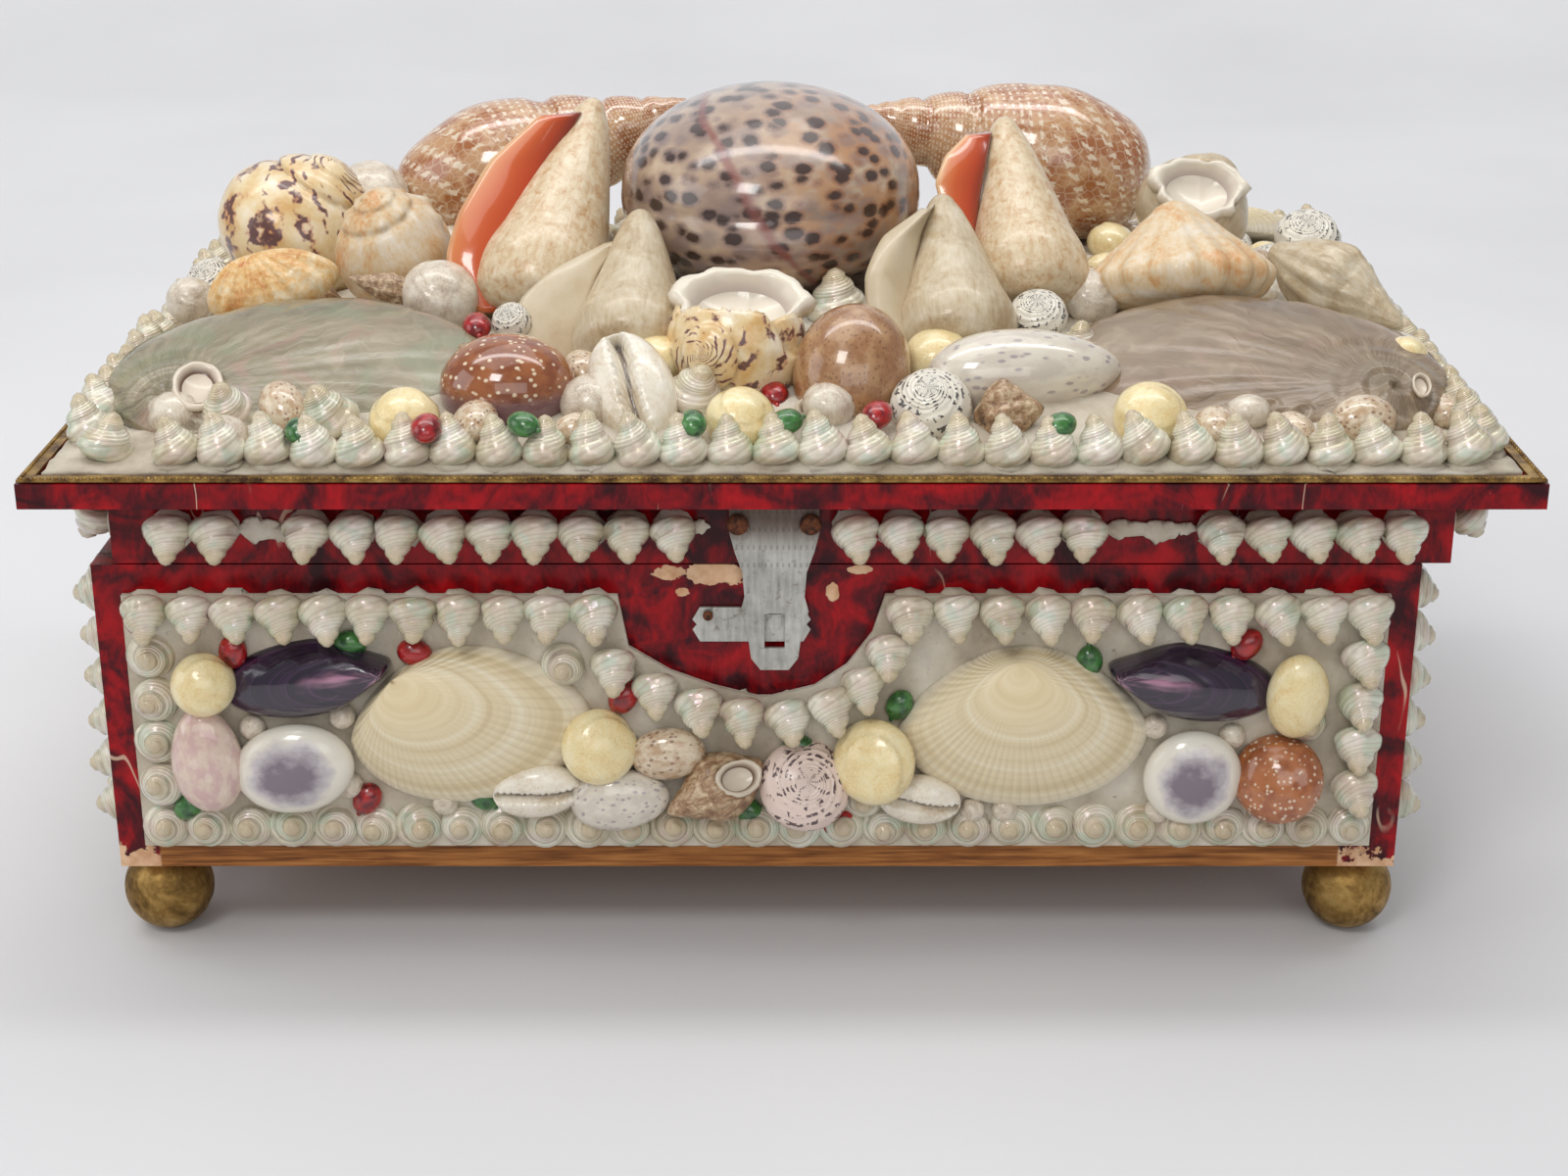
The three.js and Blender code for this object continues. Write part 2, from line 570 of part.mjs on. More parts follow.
function frontPanel() {
  const wide = ROW_HALF + ROW_EDGE;
  const high = ROW_TOP + ROW_EDGE;
  const low = ROW_BOTTOM - ROW_EDGE;
  const line = DIP.map(([x, rise]) => [caseAlong(x), caseRise(rise)]);
  const inward = ([x, z]) => [x - Math.sign(x) * DIP_BED_IN, z + DIP_BED_UP];
  const outline = [
    [-wide, low],
    [-wide, high],
    [line[0][0] + ROW_EDGE, high],
    ...line.slice(1, -1).map(inward),
    [line.at(-1)[0] - ROW_EDGE, high],
    [wide, high],
    [wide, low],
  ];
  const bed = plateOf(outline, CASE_FRONT - GAP, PANEL_BED).translate([CASE_X, 0, 0]);
  settle([bed], [bed.add(bed.translate([0, -GAP, 0]))]);
  add(box, "front_plaster", bed, COLOURS.plaster);

  const end = (sign, z) => vec(CASE_X + sign * ROW_HALF, 0, z);
  const dip = DIP.map(([x, rise]) => onPanel(x, rise));
  const leftTop = end(-1, ROW_TOP);
  const corners = [leftTop, ...dip, end(1, ROW_TOP), end(1, ROW_BOTTOM), end(-1, ROW_BOTTOM), leftTop];
  const halfway = (ROW_TOP + ROW_BOTTOM) / 2;
  const leans = (at) => (at.z > halfway && Math.abs(at.x - CASE_X) < ROW_HALF ? HANGING() : STRAIGHT());
  const row = { corners, closed: true, pitch: FRONT_PITCH, out: FORWARD, lean: leans, level: FRONT_LEVEL };
  add(box, "front_border", settleRow(row), COLOURS.pearl);

  const shells = {
    cockle_left: [[onFront(valve(46, 30, 10, -8), -55.5, 30.6, 6)], COLOURS.cream],
    cockle_right: [[onFront(valve(48, 34, 11, 0), 51.8, 31.1)], COLOURS.cream],
    mussel_left: [[onFront(egg(17, 7.8, 4.2), -86.7, 41.4, 8)], COLOURS.mussel],
    mussel_right: [[onFront(egg(17.5, 8.4, 4.2), 84.1, 40.6, -8)], COLOURS.mussel],
    front_left_shells: [
      [
        onFront(egg(7.2, 11.3, 4.8, 8, 5), -106.2, 25.7),
        onFront(egg(12, 9.4, 4.5, 8, 5), -89.6, 23.6),
        onFront(egg(6.4, 6.4, 4.5, 8, 5), -105.6, 41.6),
      ],
      COLOURS.bone,
    ],
    front_right_shells: [
      [
        onFront(egg(9.8, 10, 4.5, 8, 5), 84.6, 21.7),
        onFront(egg(9, 10.5, 5, 8, 5), 101, 21.7),
        onFront(egg(6, 9.4, 4.8, 8, 5), 103.6, 39.2),
      ],
      COLOURS.bone,
    ],
    front_centre_shells: [
      [
        onFront(egg(7.4, 7.8, 4.4, 8, 5), -30.3, 28.6),
        onFront(egg(7.6, 5.4, 3.8, 7, 4), -17.2, 26.6),
        onFront(egg(9, 5.8, 3.8, 7, 4), -42.6, 19, 8),
        onFront(egg(10, 6.6, 4.5, 7, 4), -26.6, 17.2, 4),
        onFront(egg(11, 7.8, 5, 8, 4), -7.4, 20.2, 20),
        onFront(egg(9.2, 9, 5, 8, 5), 9.4, 20.4),
        onFront(egg(8.6, 8, 4.6, 8, 5), 22.6, 25.8),
        onFront(egg(8.4, 5.4, 3.8, 7, 4), 31.6, 17.2),
      ],
      COLOURS.bone,
    ],
  };
  for (const [name, [parts, colour]] of Object.entries(shells)) {
    add(box, name, settle(parts), colour);
  }
}

// Each end of the case: a bed of plaster, a border of top shells and three cockles between.
function sidePanel(side, sign) {
  const out = vec(sign, 0, 0);
  const face = CASE_LENGTH / 2 - sign * LID_SHIFT + GAP;
  const half = CASE_DEPTH / 2 - ROW_INSET;
  const inside = sign * face;
  const outside = sign * (face + SIDE_BED);
  const low = vec(Math.min(inside, outside), -half - ROW_EDGE, ROW_BOTTOM - ROW_EDGE);
  const high = vec(Math.max(inside, outside), half + ROW_EDGE, ROW_TOP + ROW_EDGE);
  const bed = block(low, high);
  settle([bed], [bed.add(bed.translate([sign * GAP, 0, 0]))]);
  add(box, `${side}_plaster`, bed, COLOURS.plaster);

  const level = face + SIDE_BED + GAP;
  const corner = (y, z) => vec(0, y, z);
  const start = corner(-half, ROW_BOTTOM);
  const corners = [start, corner(-half, ROW_TOP), corner(half, ROW_TOP), corner(half, ROW_BOTTOM), start];
  const row = { corners, closed: true, out, level, height: SIDE_TOP_HEIGHT };
  const room = ROW_TOP - ROW_BOTTOM - 6;
  const cockles = [-1, 0, 1].map((step) => {
    const cockle = valve(SIDE_COCKLE.width, room, SIDE_COCKLE.depth, step * SIDE_COCKLE.skew, 10);
    cockle.rotateX(Math.PI / 2).rotateZ(sign * Math.PI / 2);
    return solid(rest(cockle, out, level, vec(0, step * SIDE_COCKLE.spread, (ROW_TOP + ROW_BOTTOM) / 2)));
  });
  add(box, `${side}_side_shells`, settleRow(row, cockles), COLOURS.pearl);
}

// The plaster on the lid: flat under the border, mounded under the shells.
const BORDER_INSET = GAP + EDGING_WIDTH + 2 * GAP + TOP_DIAMETER / 2;
const BORDER_X = LID_LENGTH / 2 - BORDER_INSET;
const BORDER_Y = LID_DEPTH / 2 - BORDER_INSET;
const CORNER_CUT = 7.4; // how far the row is cut across the lid's front right corner
const LOST_ALONG = 19.7; // the row's gap at the front left corner, where shells were lost
const LOST_ACROSS = 14.7;

function mound() {
  const edge = TOP_DIAMETER / 2;
  const innerX = BORDER_X - edge;
  const innerY = BORDER_Y - edge;
  const lines = (inner, outer, count) => {
    const middle = Array.from({ length: count + 1 }, (_, i) => -inner + (2 * inner * i) / count);
    return [-outer, ...middle, outer];
  };
  const xs = lines(innerX, BORDER_X + edge - GAP, 8);
  const ys = lines(innerY, BORDER_Y + edge - GAP, 6);
  const height = (x, y) => {
    const along = Math.max(0, 1 - Math.abs(x / innerX) ** 4);
    const across = Math.max(0, 1 - Math.abs(y / innerY) ** 2.6);
    return BED_TOP + LID_BED_EDGE + (LID_BED_CROWN - LID_BED_EDGE) * along * across;
  };
  const position = [];
  const triangle = (...corners) => corners.forEach((p) => position.push(p.x, p.y, p.z));
  const upper = (i, j) => vec(xs[i], ys[j], height(xs[i], ys[j]));
  const lower = (i, j) => vec(xs[i], ys[j], BED_TOP);
  for (let i = 0; i < xs.length - 1; i++) {
    for (let j = 0; j < ys.length - 1; j++) {
      triangle(upper(i, j), upper(i + 1, j), upper(i + 1, j + 1));
      triangle(upper(i, j), upper(i + 1, j + 1), upper(i, j + 1));
    }
  }
  const rim = [];
  const lastX = xs.length - 1;
  const lastY = ys.length - 1;
  for (let i = 0; i < lastX; i++) rim.push([i, 0]);
  for (let j = 0; j < lastY; j++) rim.push([lastX, j]);
  for (let i = lastX; i > 0; i--) rim.push([i, lastY]);
  for (let j = lastY; j > 0; j--) rim.push([0, j]);
  const centre = vec(0, 0, BED_TOP);
  rim.forEach(([i, j], k) => {
    const [ni, nj] = rim[(k + 1) % rim.length];
    triangle(lower(i, j), lower(ni, nj), upper(ni, nj));
    triangle(lower(i, j), upper(ni, nj), upper(i, j));
    triangle(centre, lower(ni, nj), lower(i, j));
  });
  return solid(fromPoints(position));
}

// A conch on end: its coned body from base to tip, and the flared lip beside it, [place, axis, half sizes].
function conch(base, tip, radius, [lip, lipAxis, lipSize]) {
  const axis = tip.clone().sub(base);
  const middle = base.clone().add(tip).multiplyScalar(0.5);
  const body = set(spired(CONE_PROFILE, radius, axis.length(), 9), middle, axis);
  const wing = set(egg(...lipSize, 8, 5), lip, lipAxis);
  return [body, wing];
}

function lidShells() {
  const bed = mound();
  settle([bed], [bed.add(bed.translate([0, 0, GAP]))]);
  add(lid, "lid_plaster", bed, COLOURS.plaster);

  const path = [
    vec(-BORDER_X + LOST_ALONG, -BORDER_Y, 0),
    vec(BORDER_X - ROW_EDGE, -BORDER_Y, 0),
    vec(BORDER_X, -BORDER_Y + CORNER_CUT, 0),
    vec(BORDER_X, BORDER_Y, 0),
    vec(-BORDER_X, BORDER_Y, 0),
    vec(-BORDER_X, -BORDER_Y + LOST_ACROSS, 0),
  ];
  const level = BED_TOP + LID_BED_EDGE + GAP;
  add(lid, "lid_border", settleRow({ corners: path, out: UP, level }), COLOURS.pearl);

  const sloped = vec(0, -0.4, 0.92);
  const tiger = egg(32.9, 25.5, 41, 14, 9).rotateX(Math.PI / 2);
  const abalone = (side) => valve(70, 43, 9, side * 12, 16).rotateZ(degrees(side * -8));
  const lips = {
    orangeLeft: [vec(-59, -12, 35.1), vec(0.4, 0.55, 0.75), [7, 6, 24]],
    orangeRight: [vec(42.5, -6, 36.1), vec(-0.1, 0.4, 0.9), [6, 6, 15]],
    whiteLeft: [vec(-44, -38, 19.6), vec(0.25, 0.4, 0.85), [8, 8, 12]],
    whiteRight: [vec(20.5, -32, 25.1), vec(0.1, 0.45, 0.85), [7, 7, 14]],
  };
  const shells = {
    tiger_cowrie: [[set(tiger, vec(-2.5, 12, 29.9))], COLOURS.spotted],
    conch_orange_left: [
      conch(vec(-55.5, -30, 14.1), vec(-38.7, 6, 52.7), 15, lips.orangeLeft),
      COLOURS.orange,
    ],
    conch_orange_right: [
      conch(vec(57.4, -28, 16.1), vec(47.3, 6, 48.4), 13.5, lips.orangeRight),
      COLOURS.orange,
    ],
    conch_white_left: [
      conch(vec(-30.4, -52, 11.1), vec(-28.6, -22, 33.5), 12.6, lips.whiteLeft),
      COLOURS.bone,
    ],
    conch_white_right: [
      conch(vec(32, -50, 12.1), vec(33.8, -18, 36.3), 13, lips.whiteRight),
      COLOURS.bone,
    ],
    pheasant_left: [
      [set(spired(PHEASANT_PROFILE, 18.5, 74, 12), vec(-54, 55, 29.1), vec(0.93, 0, 0.36))],
      COLOURS.brown,
    ],
    pheasant_right: [
      [set(spired(PHEASANT_PROFILE, 18.5, 70, 12), vec(50.5, 55, 31.6), vec(-0.97, 0, 0.25))],
      COLOURS.brown,
    ],
    abalone_left: [[set(abalone(-1), vec(-93.5, -53, 8.6), sloped)], COLOURS.pearl],
    abalone_right: [[set(abalone(1), vec(91.5, -53, 8.6), sloped)], COLOURS.bone],
    turban_centre: [
      [set(spired(TURBAN_PROFILE, 14.6, 26), vec(-10, -57, 15.1), vec(-0.35, -0.7, 0.1))],
      COLOURS.bone,
    ],
    bulla_brown: [[set(egg(11.5, 10, 14), vec(13.4, -63, 11.6), vec(0.2, 0.45, 0.85))], COLOURS.brown],
    olive_pale: [[set(egg(19.4, 9, 8.7).rotateY(degrees(10)), vec(46.7, -62, 11.3))], COLOURS.bone],
    snakehead_cowrie: [[set(egg(13.5, 12, 10.5), vec(-52.5, -66, 9.6))], COLOURS.brown],
    toothed_cowrie: [[set(egg(9, 8, 11.5), vec(-28.4, -71, 9.1), vec(-0.3, 0.5, 0.7))], COLOURS.bone],
    left_end_shells: [
      [
        set(egg(18.2, 17, 12.5), vec(-104.9, 15, 22.7)),
        set(egg(6.5, 6.5, 8), vec(-95.5, 13, 32.1)),
        set(egg(10.5, 12, 9), vec(-94.8, 40, 21.1)),
        set(egg(12.5, 14, 11.5), vec(-81.9, -10, 23.1)),
        set(egg(14, 15, 8), vec(-103.1, -22, 18.1)),
      ],
      COLOURS.bone,
    ],
    right_end_shells: [
      [
        set(egg(18.5, 18, 11), vec(80.1, -18, 25.6)),
        set(egg(13, 17, 11), vec(90.8, 14, 27.1)),
        set(egg(16, 12, 9), vec(110, -15, 17.1)),
        set(egg(12, 12, 8), vec(108, 10, 18.6)),
      ],
      COLOURS.bone,
    ],
    back_shells: [
      Array.from({ length: 6 }, (_, i) => set(egg(23, 11, 9, 8, 4), vec(-102.5 + 41 * i, 70, 9.1))),
      COLOURS.bone,
    ],
  };
  for (const [name, [parts, colour]] of Object.entries(shells)) {
    add(lid, name, settle(parts), colour);
  }
}

// Rows of top shells on the lid frame; the front rows stop where shells were lost and at the hasp.
function frameShells() {
  const z = FRAME_BOTTOM + FRAME_ROW_RISE;
  const level = FRAME_DEPTH / 2 + GAP;
  const end = FRAME_LENGTH / 2;
  const front = {
    far_left: [-end + ROW_START, 2],
    left: [HASP_X - HASP_WIDTH / 2 - HASP_ROOM_LEFT - 8 * TOP_PITCH, 9],
    right: [HASP_X + HASP_WIDTH / 2 + HASP_ROOM_RIGHT, 6],
    far_right: [end - ROW_INSET - 4 * TOP_PITCH, 5],
  };
  for (const [name, [from, count]] of Object.entries(front)) {
    const corners = [vec(from, 0, z), vec(from + (count - 1) * TOP_PITCH, 0, z)];
    const row = settleRow({ corners, out: FORWARD, lean: HANGING, level });
    add(lid, `frame_shells_${name}`, row, COLOURS.pearl);
  }
  for (const [side, sign] of [["left", -1], ["right", 1]]) {
    const half = FRAME_DEPTH / 2 - FRAME_WALL;
    const corners = [vec(0, -half, z), vec(0, half, z)];
    const out = vec(sign, 0, 0);
    const row = settleRow({ corners, out, lean: HANGING, level: FRAME_LENGTH / 2 + GAP });
    add(lid, `frame_shells_${side}_side`, row, COLOURS.pearl);
  }
}

caseBoards();
ballFeet();
lidBoards();
giltEdging();
hinges();
haspAndCatch();
frontPanel();
sidePanel("left", -1);
sidePanel("right", 1);
lidShells();
frameShells();

const whole = new THREE.Group();
whole.add(box, lid);
export default whole;
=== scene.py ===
"""A shell-covered keepsake box: the looks of every shell, paper, plaster and fitting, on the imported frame.

Places are in millimetres in the row frame, turned into metres where a mesh is made.
"""

import math

import bmesh
import bpy
import numpy as np
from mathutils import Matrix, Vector


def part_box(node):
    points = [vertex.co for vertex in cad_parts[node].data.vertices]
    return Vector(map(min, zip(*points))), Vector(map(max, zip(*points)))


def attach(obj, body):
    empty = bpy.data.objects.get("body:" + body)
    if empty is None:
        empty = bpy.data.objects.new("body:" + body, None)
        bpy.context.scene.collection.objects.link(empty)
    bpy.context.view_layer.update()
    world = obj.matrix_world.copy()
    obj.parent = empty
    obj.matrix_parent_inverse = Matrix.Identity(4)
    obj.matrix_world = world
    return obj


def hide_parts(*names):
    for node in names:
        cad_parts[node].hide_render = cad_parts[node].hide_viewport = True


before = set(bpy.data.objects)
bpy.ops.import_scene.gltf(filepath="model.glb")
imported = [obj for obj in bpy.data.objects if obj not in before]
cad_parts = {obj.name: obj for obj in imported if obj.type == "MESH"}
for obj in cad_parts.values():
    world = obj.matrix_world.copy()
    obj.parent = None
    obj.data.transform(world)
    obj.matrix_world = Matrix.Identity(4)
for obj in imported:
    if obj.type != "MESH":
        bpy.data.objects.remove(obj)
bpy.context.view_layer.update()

MM = 0.001
TAU = 2 * math.pi
UP = (0, 0, 1)
FORWARD = (0, -1, 0)
rng = np.random.default_rng(7)
FINISHES = {}  # the materials made here, by name
CAMERA_PLACE = (0.0004, -0.534, 0.2505)
CAMERA_TILT = 69.05  # degrees up from straight down
LENS = 58.3


def srgb(red, green, blue):
    """A colour given as 0 to 255, as the shader wants it."""
    parts = [c / 255 for c in (red, green, blue)]
    linear = [c / 12.92 if c <= 0.04045 else ((c + 0.055) / 1.055) ** 2.4 for c in parts]
    return (*linear, 1)


def mm_box(node):
    low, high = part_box(node)
    return np.array(low) / MM, np.array(high) / MM


# Shader building


class Field:
    """A value that varies over a surface; + - * and / each add one Math node."""

    def __init__(self, shader, socket):
        self.shader = shader
        self.socket = socket

    def __add__(self, other):
        return self.shader.math("ADD", self, other)

    def __sub__(self, other):
        return self.shader.math("SUBTRACT", self, other)

    def __mul__(self, other):
        return self.shader.math("MULTIPLY", self, other)

    def __truediv__(self, other):
        return self.shader.math("DIVIDE", self, other)


class Shader:
    """A material with a Principled shader and short ways to add nodes."""

    def __init__(self, name, roughness=0.5, metallic=0.0, coat=0.0, coat_roughness=0.1):
        FINISHES[name] = bpy.data.materials.new(name)
        FINISHES[name].use_nodes = True
        self.tree = FINISHES[name].node_tree
        self.bsdf = self.tree.nodes["Principled BSDF"]
        self.relief = None
        self.set("Roughness", roughness)
        self.set("Metallic", metallic)
        self.set("Coat Weight", coat)
        self.set("Coat Roughness", coat_roughness)

    def set(self, socket, value):
        self.plug(self.bsdf.inputs[socket], value)

    def plug(self, socket, value):
        """Links a field, or sets a number, a vector in a list, or a colour in a tuple of 0 to 255."""
        value = getattr(value, "socket", value)
        if isinstance(value, bpy.types.NodeSocket):
            self.tree.links.new(value, socket)
        else:
            socket.default_value = srgb(*value) if isinstance(value, tuple) else value

    def linked(self, socket):
        """What is linked to a socket of the Principled shader so far."""
        return self.bsdf.inputs[socket].links[0].from_socket

    def field(self, kind, inputs, output=0, **settings):
        """A new node with its settings and inputs, as the field at one of its outputs."""
        made = self.tree.nodes.new("ShaderNode" + kind)
        for key, value in settings.items():
            setattr(made, key, value)
        for key, value in inputs.items():
            self.plug(made.inputs[key], value)
        return Field(self, made.outputs[output])

    def attribute(self, name):
        return self.field("Attribute", {}, "Vector", attribute_name=name)

    def position(self):
        return self.field("TexCoord", {}, "Object")

    def split(self, vector):
        first = self.field("SeparateXYZ", {"Vector": vector})
        return [Field(self, socket) for socket in first.socket.node.outputs]

    def pair(self, x, y):
        return self.field("CombineXYZ", {"X": x, "Y": y})

    def noise(self, vector, scale, detail=4.0, roughness=0.55, distortion=0.0):
        inputs = {
            "Vector": vector, "Scale": scale, "Detail": detail, "Roughness": roughness,
            "Distortion": distortion
        }
        return self.field("TexNoise", inputs, "Fac")

    def cells(self, vector, scale, feature="F1"):
        return self.field("TexVoronoi", {"Vector": vector, "Scale": scale}, "Distance", feature=feature)

    def math(self, operation, a, b=0.0):
        return self.field("Math", {0: a, 1: b}, operation=operation)

    def most(self, first, *others):
        """The largest of several fields."""
        for other in others:
            first = self.math("MAXIMUM", first, other)
        return first

    def size(self, value):
        return self.math("ABSOLUTE", value)

    def wave(self, phase):
        """A sine from 0 to 1 of a phase in turns."""
        return self.math("SINE", phase * TAU) * 0.5 + 0.5

    def angle(self, vector):
        """The turn about the shell's own axis, as a share of a full turn."""
        x, y, _ = self.split(vector)
        return self.math("ARCTAN2", y, x) / TAU

    def stretch(self, vector, x=1.0, y=1.0, z=1.0):
        return self.field("Mapping", {"Vector": vector, "Scale": [x, y, z]})

    def ramp(self, value, *stops):
        """Colours or greys at places from 0 to 1."""
        made = self.field("ValToRGB", {0: value})
        elements = made.socket.node.color_ramp.elements
        while len(elements) < len(stops):
            elements.new(0.5)
        for element, (place, colour) in zip(elements, stops):
            element.position = place
            element.color = srgb(*colour) if isinstance(colour, tuple) else (colour, colour, colour, 1)
        return made

    def step(self, value, low, high):
        """0 below low, 1 above high, smooth between; where high is the lower one, 1 below it and 0 above."""
        falls = high < low
        inputs = {"Value": value, "From Min": min(low, high), "From Max": max(low, high)}
        inputs.update({"To Min": float(falls), "To Max": float(not falls)})
        return self.field("MapRange", inputs, interpolation_type="SMOOTHSTEP")

    def mix(self, fac, a, b):
        return self.field("Mix", {"Factor": fac, 6: a, 7: b}, 2, data_type="RGBA")

    def bump(self, height, strength=0.3, distance=0.3):
        """Adds relief to what is there; distance is in millimetres."""
        inputs = {"Strength": strength, "Distance": distance * MM, "Height": height}
        if self.relief:
            inputs["Normal"] = self.relief
        self.relief = self.field("Bump", inputs)
        self.set("Normal", self.relief)


def marbled_paper(name="paper"):
    """Glossy red paper, feathered with maroon, with a few pale cracks and rubbed spots."""
    s = Shader(name, roughness=0.36, coat=0.06, coat_roughness=0.1)
    s.set("Specular IOR Level", 0.22)
    place = s.position()
    broad = s.noise(place, 95, 3, 0.55, 0.9)
    feather = s.noise(s.stretch(place, 1.0, 1.0, 0.4), 420, 5, 0.7, 1.4)
    tone = broad * 0.72 + feather * 0.28
    red = s.ramp(
        tone, (0.38, (52, 2, 12)), (0.45, (88, 3, 15)), (0.52, (132, 4, 16)), (0.6, (164, 6, 18)),
        (0.72, (186, 16, 26))
    )
    level = s.size(s.noise(s.stretch(place, 1.0, 1.0, 0.25), 42, 3, 0.5) - 0.5)
    patchy = s.step(s.noise(place, 38, 2), 0.53, 0.6)
    crack = s.step(level, 0.004, 0.0015) * patchy
    worn = s.step(s.noise(place, 330, 5, 0.75), 0.72, 0.74)
    spot = s.step(s.noise(place, 28, 2), 0.54, 0.62)
    bare = s.most(crack * 0.75, worn * spot)
    s.set("Base Color", s.mix(bare, red, (218, 184, 160)))
    s.set("Roughness", bare * 0.5 + 0.26)
    ripple = s.noise(s.stretch(place, 1, 1, 0.5), 150, 3)
    s.bump(ripple - bare * 1.2, 0.25, 0.25)
    return s


def front_paper():
    """The front board: the same paper, torn by the hasp and cut short over a strip of bare wood."""
    s = marbled_paper("front_paper")
    place = s.position()
    x, _, z = s.split(place)
    ragged = (s.noise(place, 260, 4, 0.7) - 0.5) * 3.2

    def patch(at_x, at_z, half_x, half_z):
        across = (x - at_x * MM) / (half_x * MM)
        up = (z - at_z * MM) / (half_z * MM)
        far = s.math("POWER", s.size(across), 2.0) + s.math("POWER", s.size(up), 2.0)
        return s.step(far + ragged, 1.05, 0.95)

    torn = patch(-12.6, 80.2, 5.8, 2.6)
    for spot in (
        (-21.5, 80.6, 3.4, 1.6), (14.8, 81.2, 2.2, 0.9), (-19.0, 76.6, 1.6, 1.0), (9.8, 76.4, 1.3, 2.0)
    ):
        torn = s.most(torn, patch(*spot))
    grain = s.noise(s.stretch(place, 14, 1, 320), 3.2, 4, 0.6, 0.4)
    fibre = s.noise(s.stretch(place, 60, 1, 1500), 2.0, 3, 0.6)
    wood = s.ramp(
        grain * 0.75 + fibre * 0.25, (0.3, (78, 44, 20)), (0.46, (132, 80, 38)), (0.56, (164, 106, 54)),
        (0.7, (184, 128, 72))
    )
    under = s.ramp(s.noise(place, 300, 4), (0.35, (196, 146, 108)), (0.65, (228, 190, 154)))
    low = s.step(z + s.noise(place, 90, 2) * 0.0008, 24.4 * MM, 24.1 * MM)
    inner = s.step(s.size(x + 6.5 * MM), 117.2 * MM, 116.6 * MM)
    strip = low * inner
    corner = s.step(z + ragged * 0.006, 21.5 * MM, 20.5 * MM)
    painted = s.linked("Base Color")
    colour = s.mix(s.most(torn, corner), painted, under)
    s.set("Base Color", s.mix(strip, colour, wood))
    rough = s.linked("Roughness")
    bare = s.most(torn, corner, strip)
    s.set("Roughness", s.most(rough, bare * 0.62))
    s.bump(bare * -1.0, 0.4, 0.25)
    return s


def bare_wood():
    s = Shader("wood", roughness=0.6)
    place = s.position()
    grain = s.noise(s.stretch(place, 8, 90, 90), 4, 5, 0.65, 0.8)
    s.set("Base Color", s.ramp(grain, (0.3, (110, 70, 34)), (0.55, (168, 116, 62)), (0.75, (196, 146, 88))))
    s.bump(grain, 0.3, 0.2)


def aged_brass():
    """Dull gilt over a turned ball, rubbed and spotted."""
    s = Shader("brass", roughness=0.42, metallic=0.75)
    place = s.position()
    blotch = s.noise(place, 130, 5, 0.65, 0.6)
    fine = s.noise(place, 700, 3, 0.6)
    tone = blotch * 0.75 + fine * 0.25
    colour = s.ramp(
        tone, (0.36, (92, 68, 34)), (0.47, (140, 108, 56)), (0.56, (170, 136, 76)), (0.68, (196, 164, 104))
    )
    s.set("Base Color", colour)
    s.set("Roughness", s.ramp(blotch, (0.35, 0.62), (0.65, 0.34)))
    s.bump(fine, 0.3, 0.12)


def tinned_sheet():
    """Grey tinned strap metal, rusty round its nails."""
    s = Shader("tin", roughness=0.42, metallic=0.7)
    place = s.position()
    x, _, z = s.split(place)
    cloud = s.noise(place, 160, 4, 0.6)
    brushed = s.noise(s.stretch(place, 1, 1, 0.12), 1400, 2, 0.5)
    grey = s.ramp(
        cloud * 0.6 + brushed * 0.4, (0.3, (150, 148, 140)), (0.5, (186, 184, 177)), (0.7, (214, 212, 206))
    )
    strokes = s.step(s.wave(x * 900.0), 0.62, 0.78)
    row = s.step(s.wave(z * 280.0), 0.8, 0.9)
    stamped = strokes * row * s.step(z, 80 * MM, 81 * MM)
    grey = s.mix(stamped * 0.4, grey, (112, 108, 100))
    speck = s.step(s.noise(place, 520, 4, 0.7), 0.55, 0.68)
    high = s.step(z + cloud * 0.006, 88 * MM, 95 * MM)
    rust = s.most(speck * 0.45, high * 0.75)
    s.set("Base Color", s.mix(rust, grey, (88, 58, 40)))
    s.set("Roughness", s.ramp(rust, (0.1, 0.36), (0.8, 0.75)))
    s.bump(s.noise(place, 900, 3), 0.2, 0.08)


def rusty_nail():
    s = Shader("nail", roughness=0.7, metallic=0.4)
    place = s.position()
    s.set("Base Color", s.ramp(s.noise(place, 900, 4), (0.35, (52, 30, 20)), (0.65, (128, 74, 44))))
    s.bump(s.noise(place, 1300, 3), 0.5, 0.15)


def gilt_paper():
    s = Shader("gilt", roughness=0.42, metallic=0.6)
    place = s.position()
    tone = s.noise(place, 210, 5, 0.7)
    s.set("Base Color", s.ramp(tone, (0.36, (74, 46, 24)), (0.5, (140, 108, 54)), (0.66, (184, 152, 88))))
    s.bump(s.noise(place, 900, 2), 0.2, 0.1)


def rough_plaster():
    s = Shader("plaster", roughness=0.85)
    place = s.position()
    cloud = s.noise(place, 60, 5, 0.6)
    grit = s.noise(place, 620, 5, 0.7)
    colour = s.ramp(cloud, (0.3, (166, 152, 132)), (0.5, (200, 190, 172)), (0.7, (220, 214, 202)))
    s.set("Base Color", s.mix(s.step(grit, 0.62, 0.75), colour, (150, 138, 120)))
    s.bump(grit + cloud * 2.0, 0.6, 0.5)


